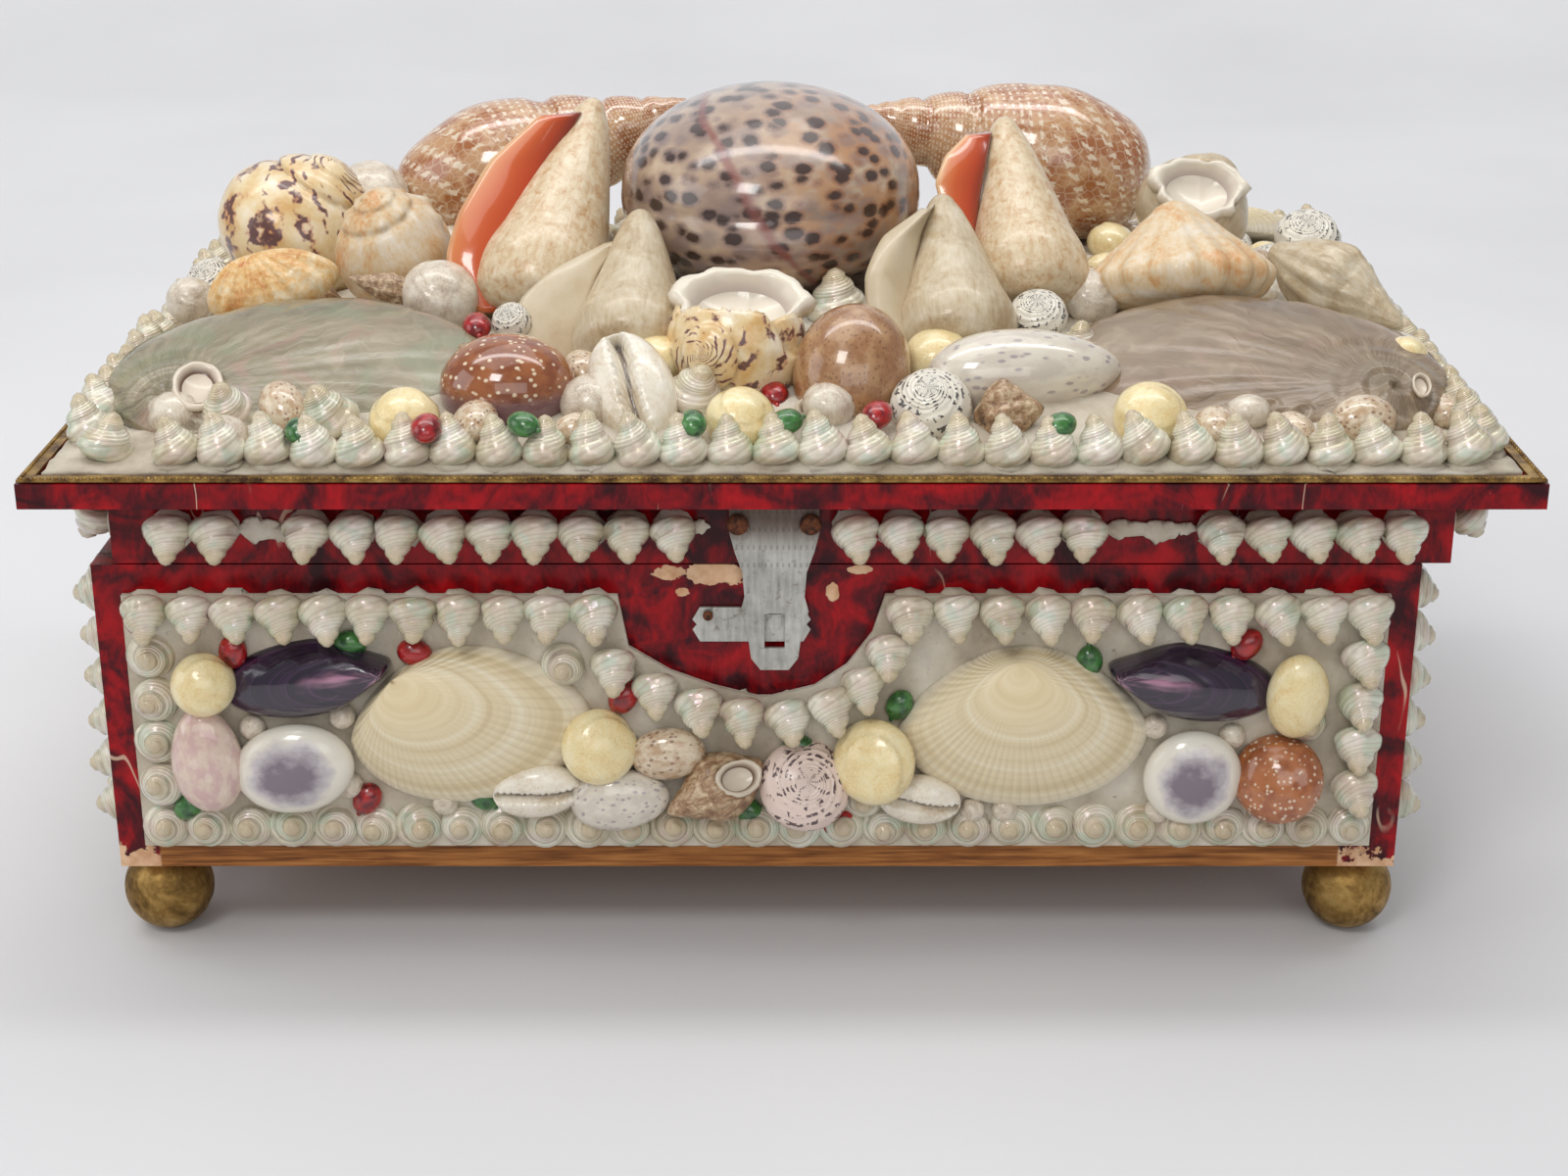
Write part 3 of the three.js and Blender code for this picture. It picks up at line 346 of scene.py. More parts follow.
def pearl():
    """Creamy top shell with fine spiral ribs and a faint green and pink sheen: painted sheen patches in the
    colour, and a thin film on the gloss.
    """
    s = Shader("pearl", roughness=0.2, coat=0.8, coat_roughness=0.07)
    own = s.attribute("own")
    place = s.position()
    whorl, level, _ = s.split(s.attribute("grow"))
    base = s.ramp(
        s.noise(place, 110, 4, 0.6), (0.34, (196, 182, 154)), (0.48, (216, 206, 184)),
        (0.64, (234, 229, 214))
    )
    # Painted sheen: green and pink patches of this noise are mixed into the colour for the nacre's
    # iridescence; the same noise sets the thin film's thickness on the gloss.
    painted_sheen_and_film = s.noise(place, 190, 2, 0.5)
    colour = s.mix(s.step(painted_sheen_and_film, 0.54, 0.64) * 0.4, base, (176, 212, 186))
    colour = s.mix(s.step(painted_sheen_and_film, 0.45, 0.36) * 0.3, colour, (226, 190, 190))
    tip = s.step(level, 0.66, 0.9)
    colour = s.mix(tip * 0.7, colour, (214, 192, 154))
    ribs = s.wave((whorl - s.angle(own)) * 5.0)
    shade = s.step(ribs, 0.3, 0.0) * 0.3
    colour = s.mix(shade, colour, (146, 130, 104))
    s.set("Base Color", colour)
    s.set("Thin Film Thickness", painted_sheen_and_film * 240.0 + 360.0)
    s.set("Thin Film IOR", 1.6)
    s.bump(ribs, 0.45, 0.2)


def nacre(name, light, mid, dark, green, pink, roughness):
    """A polished ear shell: fine streaks fan out from its spire over clouded mother of pearl."""
    s = Shader(name, roughness=roughness, coat=0.4, coat_roughness=0.15)
    own = s.attribute("own")
    growth, fan, _ = s.split(s.attribute("grow"))
    sway = (s.noise(own, 2.2, 3, 0.6) - 0.5) * 0.12
    spread = fan + sway

    def fanned(fine, long):
        return s.noise(s.pair(spread * fine, growth * long), 1.0, 4, 0.6)

    broad = fanned(9.0, 1.6)
    fine = fanned(64.0, 3.0)
    tone = broad * 0.65 + fine * 0.35
    colour = s.ramp(tone, (0.32, dark), (0.5, mid), (0.66, light))
    cloud = s.noise(own, 2.4, 3, 0.55, 1.0)
    colour = s.mix(s.step(cloud, 0.52, 0.66) * 0.4, colour, green)
    colour = s.mix(s.step(cloud, 0.46, 0.34) * 0.5, colour, pink)
    s.set("Base Color", colour)
    s.bump(broad * 0.6 + fine, 0.7, 0.6)
    return s


def ribbed_cream():
    """A cockle: cream with faint growth bands and fine ribs from the beak, with painted shade in the grooves
    between the ribs.
    """
    s = Shader("cockle", roughness=0.42, coat=0.15)
    growth, across, _ = s.split(s.attribute("grow"))
    band = s.noise(s.pair(growth * 13.0, across), 1.0, 4, 0.6)
    colour = s.ramp(band, (0.3, (210, 190, 150)), (0.5, (226, 210, 174)), (0.68, (236, 226, 200)))
    ribs = s.wave(across * 96.0)
    faded = s.step(growth, 0.2, 0.85)
    # Painted shade: the grooves between the ribs are darkened.
    groove = s.step(ribs, 0.35, 0.0) * faded * 0.26
    colour = s.mix(groove, colour, (188, 164, 122))
    beak = s.step(growth, 0.45, 0.1)
    colour = s.mix(beak * 0.55, colour, (230, 208, 160))
    rim = s.step(growth, 0.86, 1.0)
    colour = s.mix(rim * 0.55, colour, (246, 242, 232))
    s.set("Base Color", colour)
    s.bump(ribs * faded, 0.6, 0.3)
    s.bump(band, 0.1, 0.2)


def mussel_dark():
    """A polished mussel: blue-black with lilac rays and growth lines."""
    s = Shader("mussel", roughness=0.14, coat=0.8, coat_roughness=0.05)
    growth, across, _ = s.split(s.attribute("grow"))
    lines = s.noise(s.pair(growth * 20.0, across), 1.0, 4, 0.65)
    rays = s.noise(s.pair(growth, across * 9.0), 1.2, 3, 0.6)
    colour = s.ramp(lines, (0.3, (16, 10, 24)), (0.55, (44, 26, 52)), (0.75, (86, 58, 86)))
    pale = s.step(rays, 0.47, 0.66) * s.step(growth, 0.75, 0.2)
    colour = s.mix(pale * 0.85, colour, (196, 142, 168))
    s.set("Base Color", colour)
    s.bump(lines, 0.3, 0.2)


def tiger_spots():
    """A tiger cowrie: grey-tan, blue-grey shadows under dark brown spots, a red-brown line, and painted
    shade darkening its underside.
    """
    s = Shader("tiger", roughness=0.2, coat=0.7, coat_roughness=0.1)
    own = s.attribute("own")
    x, _, z = s.split(own)
    base = s.ramp(
        s.noise(own, 1.8, 4, 0.6), (0.32, (148, 125, 112)), (0.5, (178, 153, 131)), (0.68, (202, 181, 156))
    )
    warm = s.step(x, -0.4, 0.6) * s.step(s.noise(own, 4.2, 3, 0.6), 0.4, 0.58)
    base = s.mix(warm * 0.75, base, (186, 134, 88))
    drift = s.noise(own, 5.0, 3, 0.6) * 0.5
    under = s.cells(own, 5.6) + drift
    base = s.mix(s.step(under, 0.86, 0.45) * 0.5, base, (122, 106, 110))
    uneven = s.noise(own, 2.6, 2, 0.5) * 0.5
    ragged = s.noise(own, 13, 3, 0.7) * 0.35 + uneven
    halo = s.cells(own, 6.6) + ragged
    dark = s.step(halo, 0.88, 0.7)
    rim = s.step(halo, 1.04, 0.84)
    brown = s.mix(s.step(x, -0.3, 0.7), (126, 104, 100), (150, 92, 54))
    colour = s.mix(rim * 0.6, base, brown)
    colour = s.mix(dark * 0.92, colour, (54, 36, 32))
    # Painted shade: the lowest part of the shell darkens towards its bottom.
    foot = s.step(z + drift * 0.5, -0.35, -0.75)
    colour = s.mix(foot * 0.85, colour, (46, 32, 30))
    wander = (s.noise(own, 1.3, 2) - 0.5) * 0.35
    slant = x + z * 0.45
    line = s.size(slant + 0.02 - wander)
    mantle = s.step(line + s.noise(own, 9, 3) * 0.05, 0.085, 0.03)
    colour = s.mix(mantle * 0.75, colour, (134, 74, 66))
    s.set("Base Color", colour)


def netted(name, ground, net, dots, bands, stripes, gloss=0.16):
    """A polished spiral shell: spiral rows of pale dots and zigzag netting on brown."""
    s = Shader(name, roughness=gloss, coat=0.9, coat_roughness=0.04)
    own = s.attribute("own")
    whorl, _, _ = s.split(s.attribute("grow"))
    turn = s.angle(own)
    spiral = whorl - turn
    base = s.mix(s.step(s.noise(own, 3.2, 4, 0.6), 0.42, 0.6), ground, net)
    rows = s.wave(spiral * bands)
    jag = s.noise(own, 9.0, 3, 0.6)
    beads = s.wave(turn * stripes + jag * 1.6)
    spots = s.step(rows, 0.55, 0.85) * s.step(beads, 0.45, 0.75)
    colour = s.mix(spots * 0.85, base, dots)
    net_cells = s.cells(s.stretch(own, 1, 1, 0.8), 9.0, "DISTANCE_TO_EDGE")
    colour = s.mix(s.step(net_cells, 0.09, 0.03) * 0.3, colour, dots)
    s.set("Base Color", colour)


def bleached(name, pale, mid, dark, roughness=0.35, coat=0.3, scale=4.0):
    """A worn shell: creamy, stained along its growth lines."""
    s = Shader(name, roughness=roughness, coat=coat, coat_roughness=0.12)
    own = s.attribute("own")
    cloud = s.noise(own, scale, 5, 0.62, 0.7)
    lines = s.noise(s.stretch(own, 7, 7, 1.2), 2.0, 4, 0.65)
    tone = cloud * 0.65 + lines * 0.35
    s.set("Base Color", s.ramp(tone, (0.34, dark), (0.48, mid), (0.62, pale)))
    s.bump(lines + cloud, 0.35, 0.3)
    return s


def cowrie_with_painted_slot_shade(name, *look):
    """A bleached cowrie whose slot is darkened with painted shade; the slot's depth is kept in grow."""
    s = bleached(name, *look)
    _, _, slot = s.split(s.attribute("grow"))
    plain = s.linked("Base Color")
    # Painted shade: the slot darkens to brown where it runs deepest.
    s.set("Base Color", s.mix(s.step(slot, 0.45, 0.9) * 0.85, plain, (84, 60, 44)))


def orange_lip():
    """The conch's flared lip: orange within, paler towards the edge, with painted shade darkening it next to
    the body.
    """
    s = Shader("lip", roughness=0.16, coat=0.8, coat_roughness=0.05)
    across, _, _ = s.split(s.attribute("grow"))
    own = s.attribute("own")
    wander = across + (s.noise(own, 2.5, 3) - 0.5) * 0.3
    # The darkest red-brown next to the shell's body is painted shade; the orange and the pale edge are the
    # lip's own colours.
    colour = s.ramp(
        wander, (0.05, (132, 44, 20)), (0.3, (184, 66, 24)), (0.64, (200, 90, 42)), (0.88, (212, 126, 76)),
        (1.0, (228, 184, 138))
    )
    s.set("Base Color", colour)
    s.bump(s.noise(s.stretch(own, 2, 2, 14), 1.5, 3), 0.2, 0.2)


def flamed():
    """A turban: cream and yellow with wavy black-red flames."""
    s = Shader("flamed", roughness=0.3, coat=0.5, coat_roughness=0.1)
    own = s.attribute("own")
    whorl, _, _ = s.split(s.attribute("grow"))
    turn = s.angle(own)
    base = s.ramp(
        s.noise(own, 2.2, 4, 0.6), (0.34, (212, 170, 108)), (0.5, (228, 204, 158)), (0.66, (236, 224, 200))
    )
    wobble = s.noise(own, 2.6, 3, 0.6) * 1.9
    flames = s.wave(turn * 9.0 + (wobble + whorl * 2.2))
    breaks = s.step(s.noise(own, 3.4, 3, 0.6), 0.44, 0.54)
    blush = s.step(flames, 0.55, 0.85) * breaks
    mark = s.step(flames, 0.76, 0.92) * breaks
    colour = s.mix(blush * 0.6, base, (186, 102, 84))
    s.set("Base Color", s.mix(mark * 0.88, colour, (74, 40, 48)))
    s.bump(s.noise(own, 6, 4), 0.3, 0.3)


def checkered(name, pale, dark, rows=9.0, marks=17.0):
    """A spotted nerite: rows of dark dashes on white."""
    s = Shader(name, roughness=0.3, coat=0.35)
    own = s.attribute("own")
    whorl, _, _ = s.split(s.attribute("grow"))
    turn = s.angle(own)
    spiral = whorl - turn
    drift = s.noise(own, 2.2, 2, 0.5) * 0.9
    lines = s.wave(spiral * rows + drift)
    jag = s.noise(own, 3.6, 3, 0.6) * 3.4
    dash = s.wave(turn * marks + jag)
    gaps = s.step(s.noise(own, 5.2, 2, 0.5), 0.4, 0.48)
    mark = s.step(lines, 0.42, 0.6) * s.step(dash, 0.56, 0.7) * gaps
    s.set("Base Color", s.mix(mark * 0.93, pale, dark))
    s.bump(lines, 0.5, 0.25)


def speckled(name, ground, mid, marks, scale=9.0, gloss=0.14, amount=0.55, ring=None):
    """A polished cowrie, olive or bulla with small clouded marks."""
    s = Shader(name, roughness=gloss, coat=0.9, coat_roughness=0.04)
    own = s.attribute("own")
    base = s.mix(s.step(s.noise(own, 2.4, 4, 0.6), 0.4, 0.62), ground, mid)
    field = s.cells(own, scale) + s.noise(own, scale * 1.3, 3) * 0.35
    mark = s.step(field, 0.5, 0.36)
    colour = s.mix(mark * amount, base, marks)
    if ring:
        _, _, z = s.split(own)
        colour = s.mix(s.step(z, ring[1], ring[2]), colour, ring[0])
    s.set("Base Color", colour)


def glossy_seed(name, colour, dark):
    s = Shader(name, roughness=0.22, coat=0.6)
    place = s.position()
    s.set("Base Color", s.ramp(s.noise(place, 420, 3, 0.6), (0.34, dark), (0.6, colour)))
    s.bump(s.noise(place, 700, 2), 0.25, 0.1)


def shadowed_mouth(name, deep, inner, rim):
    """The inside of a shell's mouth, smooth, with painted shade that darkens it towards its depth."""
    s = Shader(name, roughness=0.3, coat=0.4)
    across, _, _ = s.split(s.attribute("grow"))
    # Painted shade: the deep colour sits at the bottom of the hollow.
    s.set("Base Color", s.ramp(across, (0.0, deep), (0.5, inner), (0.85, rim)))


def ringed(name, rim, ring, centre):
    """A cowrie worn through its back: a white rim, a pale band and a purple-grey middle."""
    s = Shader(name, roughness=0.2, coat=0.7, coat_roughness=0.06)
    own = s.attribute("own")
    _, _, z = s.split(own)
    ragged = (s.noise(own, 1.9, 4, 0.6) - 0.5) * 0.5
    inward = z + ragged
    s.set("Base Color", s.ramp(inward, (0.6, rim), (0.76, ring), (0.94, centre)))
    s.bump(inward, 0.3, 0.5)


# Mesh building: each form is (points, own, grow, faces), in millimetres about its own centre


def vectors(*parts):
    """Arrays and numbers side by side, as one array of vectors."""
    return np.stack(np.broadcast_arrays(*parts), axis=-1)


def turns(count):
    return np.linspace(0, TAU, count, endpoint=False)


def bell(value, width):
    """1 where the value is 0, falling smoothly to each side."""
    return np.exp(-((value / width) ** 2))


def ease(low, high, value):
    t = np.clip((value - low) / (high - low), 0, 1)
    return t * t * (3 - 2 * t)


def grid_faces(rows, columns, wrap):
    index = np.arange(rows * columns).reshape(rows, columns)
    if wrap:
        index = np.concatenate([index, index[:, :1]], axis=1)
    quads = np.stack([index[:-1, :-1], index[:-1, 1:], index[1:, 1:], index[1:, :-1]], axis=-1)
    return quads.reshape(-1, 4)


def form(points, grow, own=None):
    """A grid of points (rows, columns, 3) as a form. own is the place the patterns are drawn at."""
    rows, columns = points.shape[:2]
    if own is None:
        own = points / np.abs(points).max()
    faces = grid_faces(rows, columns, True)
    return points.reshape(-1, 3), own.reshape(-1, 3), grow.reshape(-1, 3), faces


def scaled(shape, *factors):
    """The form with its x, y and z times the given factors."""
    points, *others = shape
    return points * vectors(*factors), *others


def smooth_curve(stops, at, count):
    """count points on a smooth curve through the stops, which lie at growing values of at."""
    want = np.linspace(0, at[-1], count)
    slope = np.gradient(stops, at, axis=0)
    k = np.clip(np.searchsorted(at, want, side="right") - 1, 0, len(at) - 2)
    span = (at[k + 1] - at[k])[:, None]
    t = (want - at[k])[:, None] / span
    a, b = stops[k], stops[k + 1]
    da, db = slope[k] * span, slope[k + 1] * span
    rising = (2 * t**3 - 3 * t**2 + 1) * a + (t**3 - 2 * t**2 + t) * da
    return rising + (-2 * t**3 + 3 * t**2) * b + (t**3 - t**2) * db


def smooth_line(stops, count):
    """count points, evenly spaced along a smooth outline of (radius, height)."""
    stops = np.array(stops, float)
    gaps = np.hypot(*np.diff(stops, axis=0).T)
    return smooth_curve(stops, np.concatenate([[0], np.cumsum(gaps)]), count)


def smooth_path(stops, count):
    """count points on a smooth path in space."""
    return smooth_curve(np.array(stops, float), np.linspace(0, 1, len(stops)), count)


def turned(
    outline, radius, length, whorls=4.0, growth=1.6, bulge=0.06, crease=0.06, around=48, rows=56, **relief
):
    """A coiled shell about Z, tip at the top: an outline of (radius, height) shares from its foot up,
    with whorls that swell between their seams, spiral seams, and ribs or knobs across them."""
    relief = {"ribs": 0, "rib": 0.0, "knobs": 0, "knob": 0.0, "soft": 0.09, **relief}
    line = smooth_line(outline, rows)
    r = np.maximum(line[:, 0], 0) * radius
    z = line[:, 1] * length
    widest = int(np.argmax(r))
    above = np.log(r[widest] / np.maximum(r, r[widest] * 0.02)) / math.log(growth)
    below = -(np.arange(widest, widest - rows, -1) / rows) * 1.6
    whorl = np.minimum(np.where(np.arange(rows) >= widest, above, below), whorls + 1)
    w, a = np.meshgrid(whorl, turns(around), indexing="ij")
    phase = w - a / TAU
    seam = np.abs(phase - np.round(phase))
    dip = np.where(phase > -0.5, bell(seam, relief["soft"]), 0)
    swell = np.where(phase > 0, np.abs(np.sin(np.pi * np.mod(phase, 1))) ** 0.7, 0.8)
    grown = bulge * (swell - 0.8) - crease * dip
    if relief["ribs"]:
        fade = np.clip(r / r.max(), 0.25, 1)[:, None]
        grown = grown + relief["rib"] * np.cos(a * relief["ribs"] + phase * 2.0) * fade
    if relief["knobs"]:
        top = np.exp(-((np.mod(phase, 1) - 0.35) ** 2) / 0.03) * (phase > -0.35)
        grown = grown + relief["knob"] * np.maximum(0, np.cos(a * relief["knobs"])) ** 2 * top
    local = r[:, None] * (1 + grown)
    points = vectors(local * np.cos(a), local * np.sin(a), z[:, None])
    level = (z - z.min()) / (z.max() - z.min())
    return form(points, vectors(w, level[:, None], 0), points / radius)


def egg(a, b, c, around=36, rows=24, point=0.0, flat=0.0):
    """A smooth egg with half sizes a, b, c, drawn out to a point at +Y and flattened below."""
    p, t = np.meshgrid(np.linspace(0, np.pi, rows), turns(around), indexing="ij")
    y = -np.cos(p)
    ring = np.sin(p) * (1 - point * y)
    z = ring * np.sin(t)
    z = np.where(z < 0, z * (1 - flat), z)
    ball = vectors(ring * np.cos(t), y, z)
    return form(ball * np.array([a, b, c]), vectors(np.mod(t / TAU, 1), (y + 1) / 2, z), ball)


def toothed_cowrie(a, b, c, teeth=13, around=64, rows=48):
    """A small white cowrie, mouth up: two rolled lips with teeth along a curved slot."""
    points, own, grow, faces = egg(a, b, c, around, rows)
    x, y, z = own.T
    slot = x - 0.1 * np.sin(y * 2.4) + 0.04
    upper = ease(-0.05, 0.45, z) * ease(1.0, 0.86, np.abs(y))
    groove = bell(slot, 0.13)
    tooth = np.cos(y * teeth * np.pi) * bell(np.abs(slot) - 0.2, 0.1)
    flat = 0.12 * ease(0.45, 1.0, z) * (1 - groove)
    points[:, 2] -= c * upper * (0.85 * groove + flat - 0.09 * tooth)
    grow[:, 2] = upper * bell(slot, 0.09)
    return points, own, grow, faces


def valve(width, height, depth, beak=(0.0, 0.5), around=80, rows=34, ribs=0, rib=0.0, rings=9, **shape):
    """One valve, back up, its beak at a share of its size from the middle; ribs fan out from the beak."""
    shape = {"ring": 0.012, "pinch": 0.25, "thickness": 0.5, "taper": 0.0, **shape}
    angle = turns(around)
    narrow = 1 - shape["pinch"] * np.maximum(0, np.sin(angle))
    rim = vectors(np.cos(angle) * narrow * width / 2, np.sin(angle) * height / 2)
    rim[:, 1] *= 1 - shape["taper"] * ease(0.1, 1.0, -np.cos(angle))
    rim[:, 1] += shape["taper"] * 0.18 * height * (1 - np.cos(angle)) / 2
    start = np.array([beak[0] * width, beak[1] * height * 0.86])
    share = np.concatenate([np.linspace(0.0, 1, rows), [1.0]])
    g, _ = np.meshgrid(share, angle, indexing="ij")
    place = start + (rim - start)[None] * g[..., None]
    dome = np.sqrt(np.clip(1 - g**2.1, 0, 1))
    bow = 1 - 0.55 * np.maximum(0, place[..., 1] / (height / 2)) ** 3
    fan = np.arctan2(place[..., 0] - start[0], start[1] - place[..., 1] + 1e-6)
    z = depth * dome * bow + rib * np.cos(fan * ribs) * g * (1 - 0.3 * g) * (ribs > 0)
    z = z + shape["ring"] * depth * np.sin(g * TAU * rings) * g
    z[-1] = -shape["thickness"]
    points = vectors(*np.moveaxis(place, -1, 0), z)
    points[-1, :, :2] *= 0.97
    return form(points, vectors(g, fan / TAU, 0))


def ear_shell(width, height, depth, spire, around=170, rows=54, holes=4):
    """An abalone, back up: a broad dome with a low coiled spire near one end, fine ridges that fan out
    from it, and a row of blisters along the front."""
    angle = turns(around)
    power = 2.3
    reach = (np.abs(np.cos(angle)) ** power + np.abs(np.sin(angle)) ** power) ** (-1 / power)
    side = np.sign(spire[0])
    rim = vectors(np.cos(angle) * reach * width / 2, np.sin(angle) * reach * height / 2)
    slim = 1 - 0.22 * ease(-0.1, 1.0, -side * np.cos(angle))
    rim[:, 1] = rim[:, 1] * slim + 0.05 * height * np.cos(angle) * side
    start = np.array(spire) * np.array([width / 2, height / 2])
    share = np.concatenate([np.linspace(0.0, 1, rows) ** 1.5, [1.0]])
    g = np.repeat(share[:, None], around, 1)
    x, y = np.moveaxis(start + (rim - start)[None] * g[..., None], -1, 0)
    across, up = x / (width / 2), y / (height / 2)
    dome = np.sqrt(np.clip(1 - 0.93 * across**2 - 0.93 * up**2, 0, 1))
    near = np.hypot(x - start[0], y - start[1]) / width
    fan = np.arctan2(y - start[1], -(x - start[0]) * side)
    coil = np.sin(fan * side + near * 84) * bell(near, 0.15)
    z = depth * (0.74 * dome + 0.24 * bell(near, 0.12)) + 0.6 * coil
    fine = 0.09 * np.sin(fan * 52 + near * 9) + 0.2 * np.sin(fan * 17 + near * 5)
    z = z + fine * ease(0.12, 0.5, near)
    for k in range(holes):
        far = np.hypot(x - (start[0] - side * (4 + 6.5 * k)), y - (-0.36 * height + 0.5 * k))
        z = z + 0.5 * np.exp(-((far - 1.4) ** 2) / 0.6) - 0.7 * bell(far, 0.9)
    z[-1] = -1.0
    return form(vectors(x, y, z), vectors(g, fan / TAU, 0))


def mouth(half_width, half_height, lip=1.4, depth=5.0, around=56, jag=0.03):
    """A shell's mouth, facing +Z: a rolled lip round a hollow."""
    rolled = [(1.0, -lip, 1.0), (1.06, 0.0, 1.0), (0.98, lip * 0.8, 0.95), (0.84, lip * 0.5, 0.85)]
    hollow = [
        (0.74, -lip * 0.6, 0.6), (0.6, -depth * 0.7, 0.3), (0.35, -depth, 0.08), (0.02, -depth * 1.05, 0.0)
    ]
    turn = turns(around)
    # tone, kept in grow, places the painted shade of the mouth's finish, darkest at the bottom of the
    # hollow.
    share, height, tone = np.array(rolled + hollow).T[:, :, None]
    wobble = 1 + jag * (np.sin(3 * turn) + 0.6 * np.sin(7 * turn + 1) + 0.4 * np.sin(13 * turn)) * tone**5
    reach = share * wobble
    points = vectors(np.cos(turn) * half_width * reach, np.sin(turn) * half_height * reach, height)
    return form(points, vectors(tone, turn / TAU, np.zeros_like(reach)))


def flange(path, widths, thickness=1.8, curl=3.0, rows=34, columns=13):
    """A curved lip along a path of points, standing out to local -X by a width at each point."""
    path = smooth_path(path, rows)[:, None]
    along = np.linspace(0, 1, rows)
    wide = np.interp(along, np.linspace(0, 1, len(widths)), widths)[:, None]
    t = np.linspace(0, 1, columns)
    curve = -curl * np.sin(t * np.pi * 0.75)
    front = path + vectors(-wide * t, curve, 0)
    back = path + vectors(-wide * t * 0.985, curve + thickness * (1 - 0.75 * t**3), 0)
    ring = np.concatenate([front, back[:, ::-1]], axis=1)
    return form(ring, vectors(np.concatenate([t, t[::-1]]), along[:, None], 0))


# Placing


def unit(vector):
    vector = np.array(vector, float)
    return vector / np.linalg.norm(vector)


def facing(axis, right=(1, 0, 0)):
    """A rotation that turns local Z to axis and keeps local X as near to right as it can be."""
    z = unit(axis)
    x = np.array(right, float)
    x = x - z * x.dot(z)
    if np.linalg.norm(x) < 1e-3:
        x = np.cross(UP, z) if abs(z[2]) < 0.9 else np.array([1.0, 0, 0])
    x = unit(x)
    return np.stack([x, np.cross(z, x), z], axis=1)


def put(shape, at, axis=UP, right=(1, 0, 0), spin=0.0, mirror=False):
    """The form turned and set with its own origin at a place."""
    points, own, grow, faces = shape
    c, s = math.cos(math.radians(spin)), math.sin(math.radians(spin))
    matrix = facing(axis, right) @ np.array([[c, -s, 0], [s, c, 0], [0, 0, 1]])
    if mirror:
        points = points * np.array([-1, 1, 1])
        faces = faces[:, ::-1]
    return points @ matrix.T + np.array(at, float), own, grow, faces


def press(shape, at, out, level, axis=None, **turn):
    """The form set at a place on a flat bed, slid along out until its lowest point is at level."""
    points, *others = put(shape, (0, 0, 0), out if axis is None else axis, **turn)
    out = np.array(out, float)
    across = np.array(at, float) - (points.min(axis=0) + points.max(axis=0)) / 2
    across -= out * across.dot(out)
    return points + across + out * (level - (points @ out).min()), *others


def hollowed(shape, at, axis, half_width, half_height, depth):
    """The placed form with a bowl pressed into it, for a mouth to sit in."""
    points, *others = shape
    turn = facing(axis)
    local = (points - np.array(at, float)) @ turn
    reach = np.hypot(local[:, 0] / half_width, local[:, 1] / half_height)
    bowl = np.minimum(local[:, 2], -depth * np.clip(1 - reach**2, 0, 1) - 0.6)
    local[:, 2] = np.where(reach < 1, bowl, local[:, 2])
    return local @ turn.T + np.array(at, float), *others


def stood(shape):
    """The form with its long axis, local Y, turned up to local Z."""
    points, *others = shape
    x, y, z = points.T
    return vectors(x, -z, y), *others


def joined(shapes):
    """Several forms as one."""
    starts = np.cumsum([0] + [len(shape[0]) for shape in shapes])
    points, own, grow, faces = zip(*shapes)
    faces = [some + start for some, start in zip(faces, starts)]
    return tuple(np.concatenate(parts) for parts in (points, own, grow, faces))


def piece(name, body, finish, shapes, replaces=()):
    """One object of several forms, riding on a body."""
    points, own, grow, faces = joined(shapes)
    mesh = bpy.data.meshes.new(name)
    mesh.from_pydata((points * MM).tolist(), [], [list(dict.fromkeys(face)) for face in faces.tolist()])
    for label, values in (("own", own), ("grow", grow)):
        layer = mesh.attributes.new(label, "FLOAT_VECTOR", "POINT")
        layer.data.foreach_set("vector", values.astype(np.float32).ravel())
    mesh.validate()
    close_poles(mesh)
    mesh.shade_smooth()
    mesh.materials.append(FINISHES[finish])
    made = bpy.data.objects.new(name, mesh)
    bpy.context.collection.objects.link(made)
    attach(made, body)
    if replaces:
        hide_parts(*replaces)


def close_poles(mesh):
    """Merges the points that meet at each tip, drops the faces lost there and turns all faces out."""
    work = bmesh.new()
    work.from_mesh(mesh)
    bmesh.ops.remove_doubles(work, verts=work.verts, dist=0.002 * MM)
    open_edges = [edge for edge in work.edges if edge.is_boundary]
    if open_edges:
        bmesh.ops.holes_fill(work, edges=open_edges, sides=0)
    bmesh.ops.recalc_face_normals(work, faces=work.faces)
    work.to_mesh(mesh)
    work.free()


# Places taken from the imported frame, in millimetres

case_low, case_high = mm_box("case_front")
plaster_low = mm_box("front_plaster")[0]
border_low, border_high = mm_box("front_border")
left_low, left_high = mm_box("left_plaster")
right_high = mm_box("right_plaster")[1]
mound_low, mound_high = mm_box("lid_plaster")
ring_high = mm_box("lid_border")[1]
frame_low, frame_high = mm_box("frame_front")
TOP_RADIUS = 4.6
TOP_HEIGHT = 8.0
SIDE_TOP_HEIGHT = 6.5
TOP_PITCH = 8.6
SINK = 0.8  # how deep the shells sit in the plaster
CASE_X = (case_low[0] + case_high[0]) / 2
FRONT_BED = -plaster_low[1]
FRONT_LEVEL = FRONT_BED - SINK
ROW_HALF = (border_high[0] - border_low[0]) / 2 - TOP_RADIUS
ROW_TOP = border_high[2] - TOP_RADIUS + 1.4
ROW_BOTTOM = border_low[2] + TOP_RADIUS
LEFT_BED = -left_low[0]
RIGHT_BED = right_high[0]
SIDE_HALF = left_high[1] - TOP_RADIUS
SIDE_COCKLE_STEP = 44
BORDER_X = ring_high[0] - TOP_RADIUS
BORDER_Y = ring_high[1] - TOP_RADIUS
FRAME_ROW_Z = frame_low[2] + 7
FRAME_END = frame_high[0]
DIP = [
    (-31, ROW_TOP), (-27.5, 62.4), (-19.6, 57.4), (-11.3, 54.2), (-2.9, 52), (5.9, 52), (14.2, 54.2),
    (20.4, 58.6), (25.2, 65.3), (29.2, ROW_TOP)
]

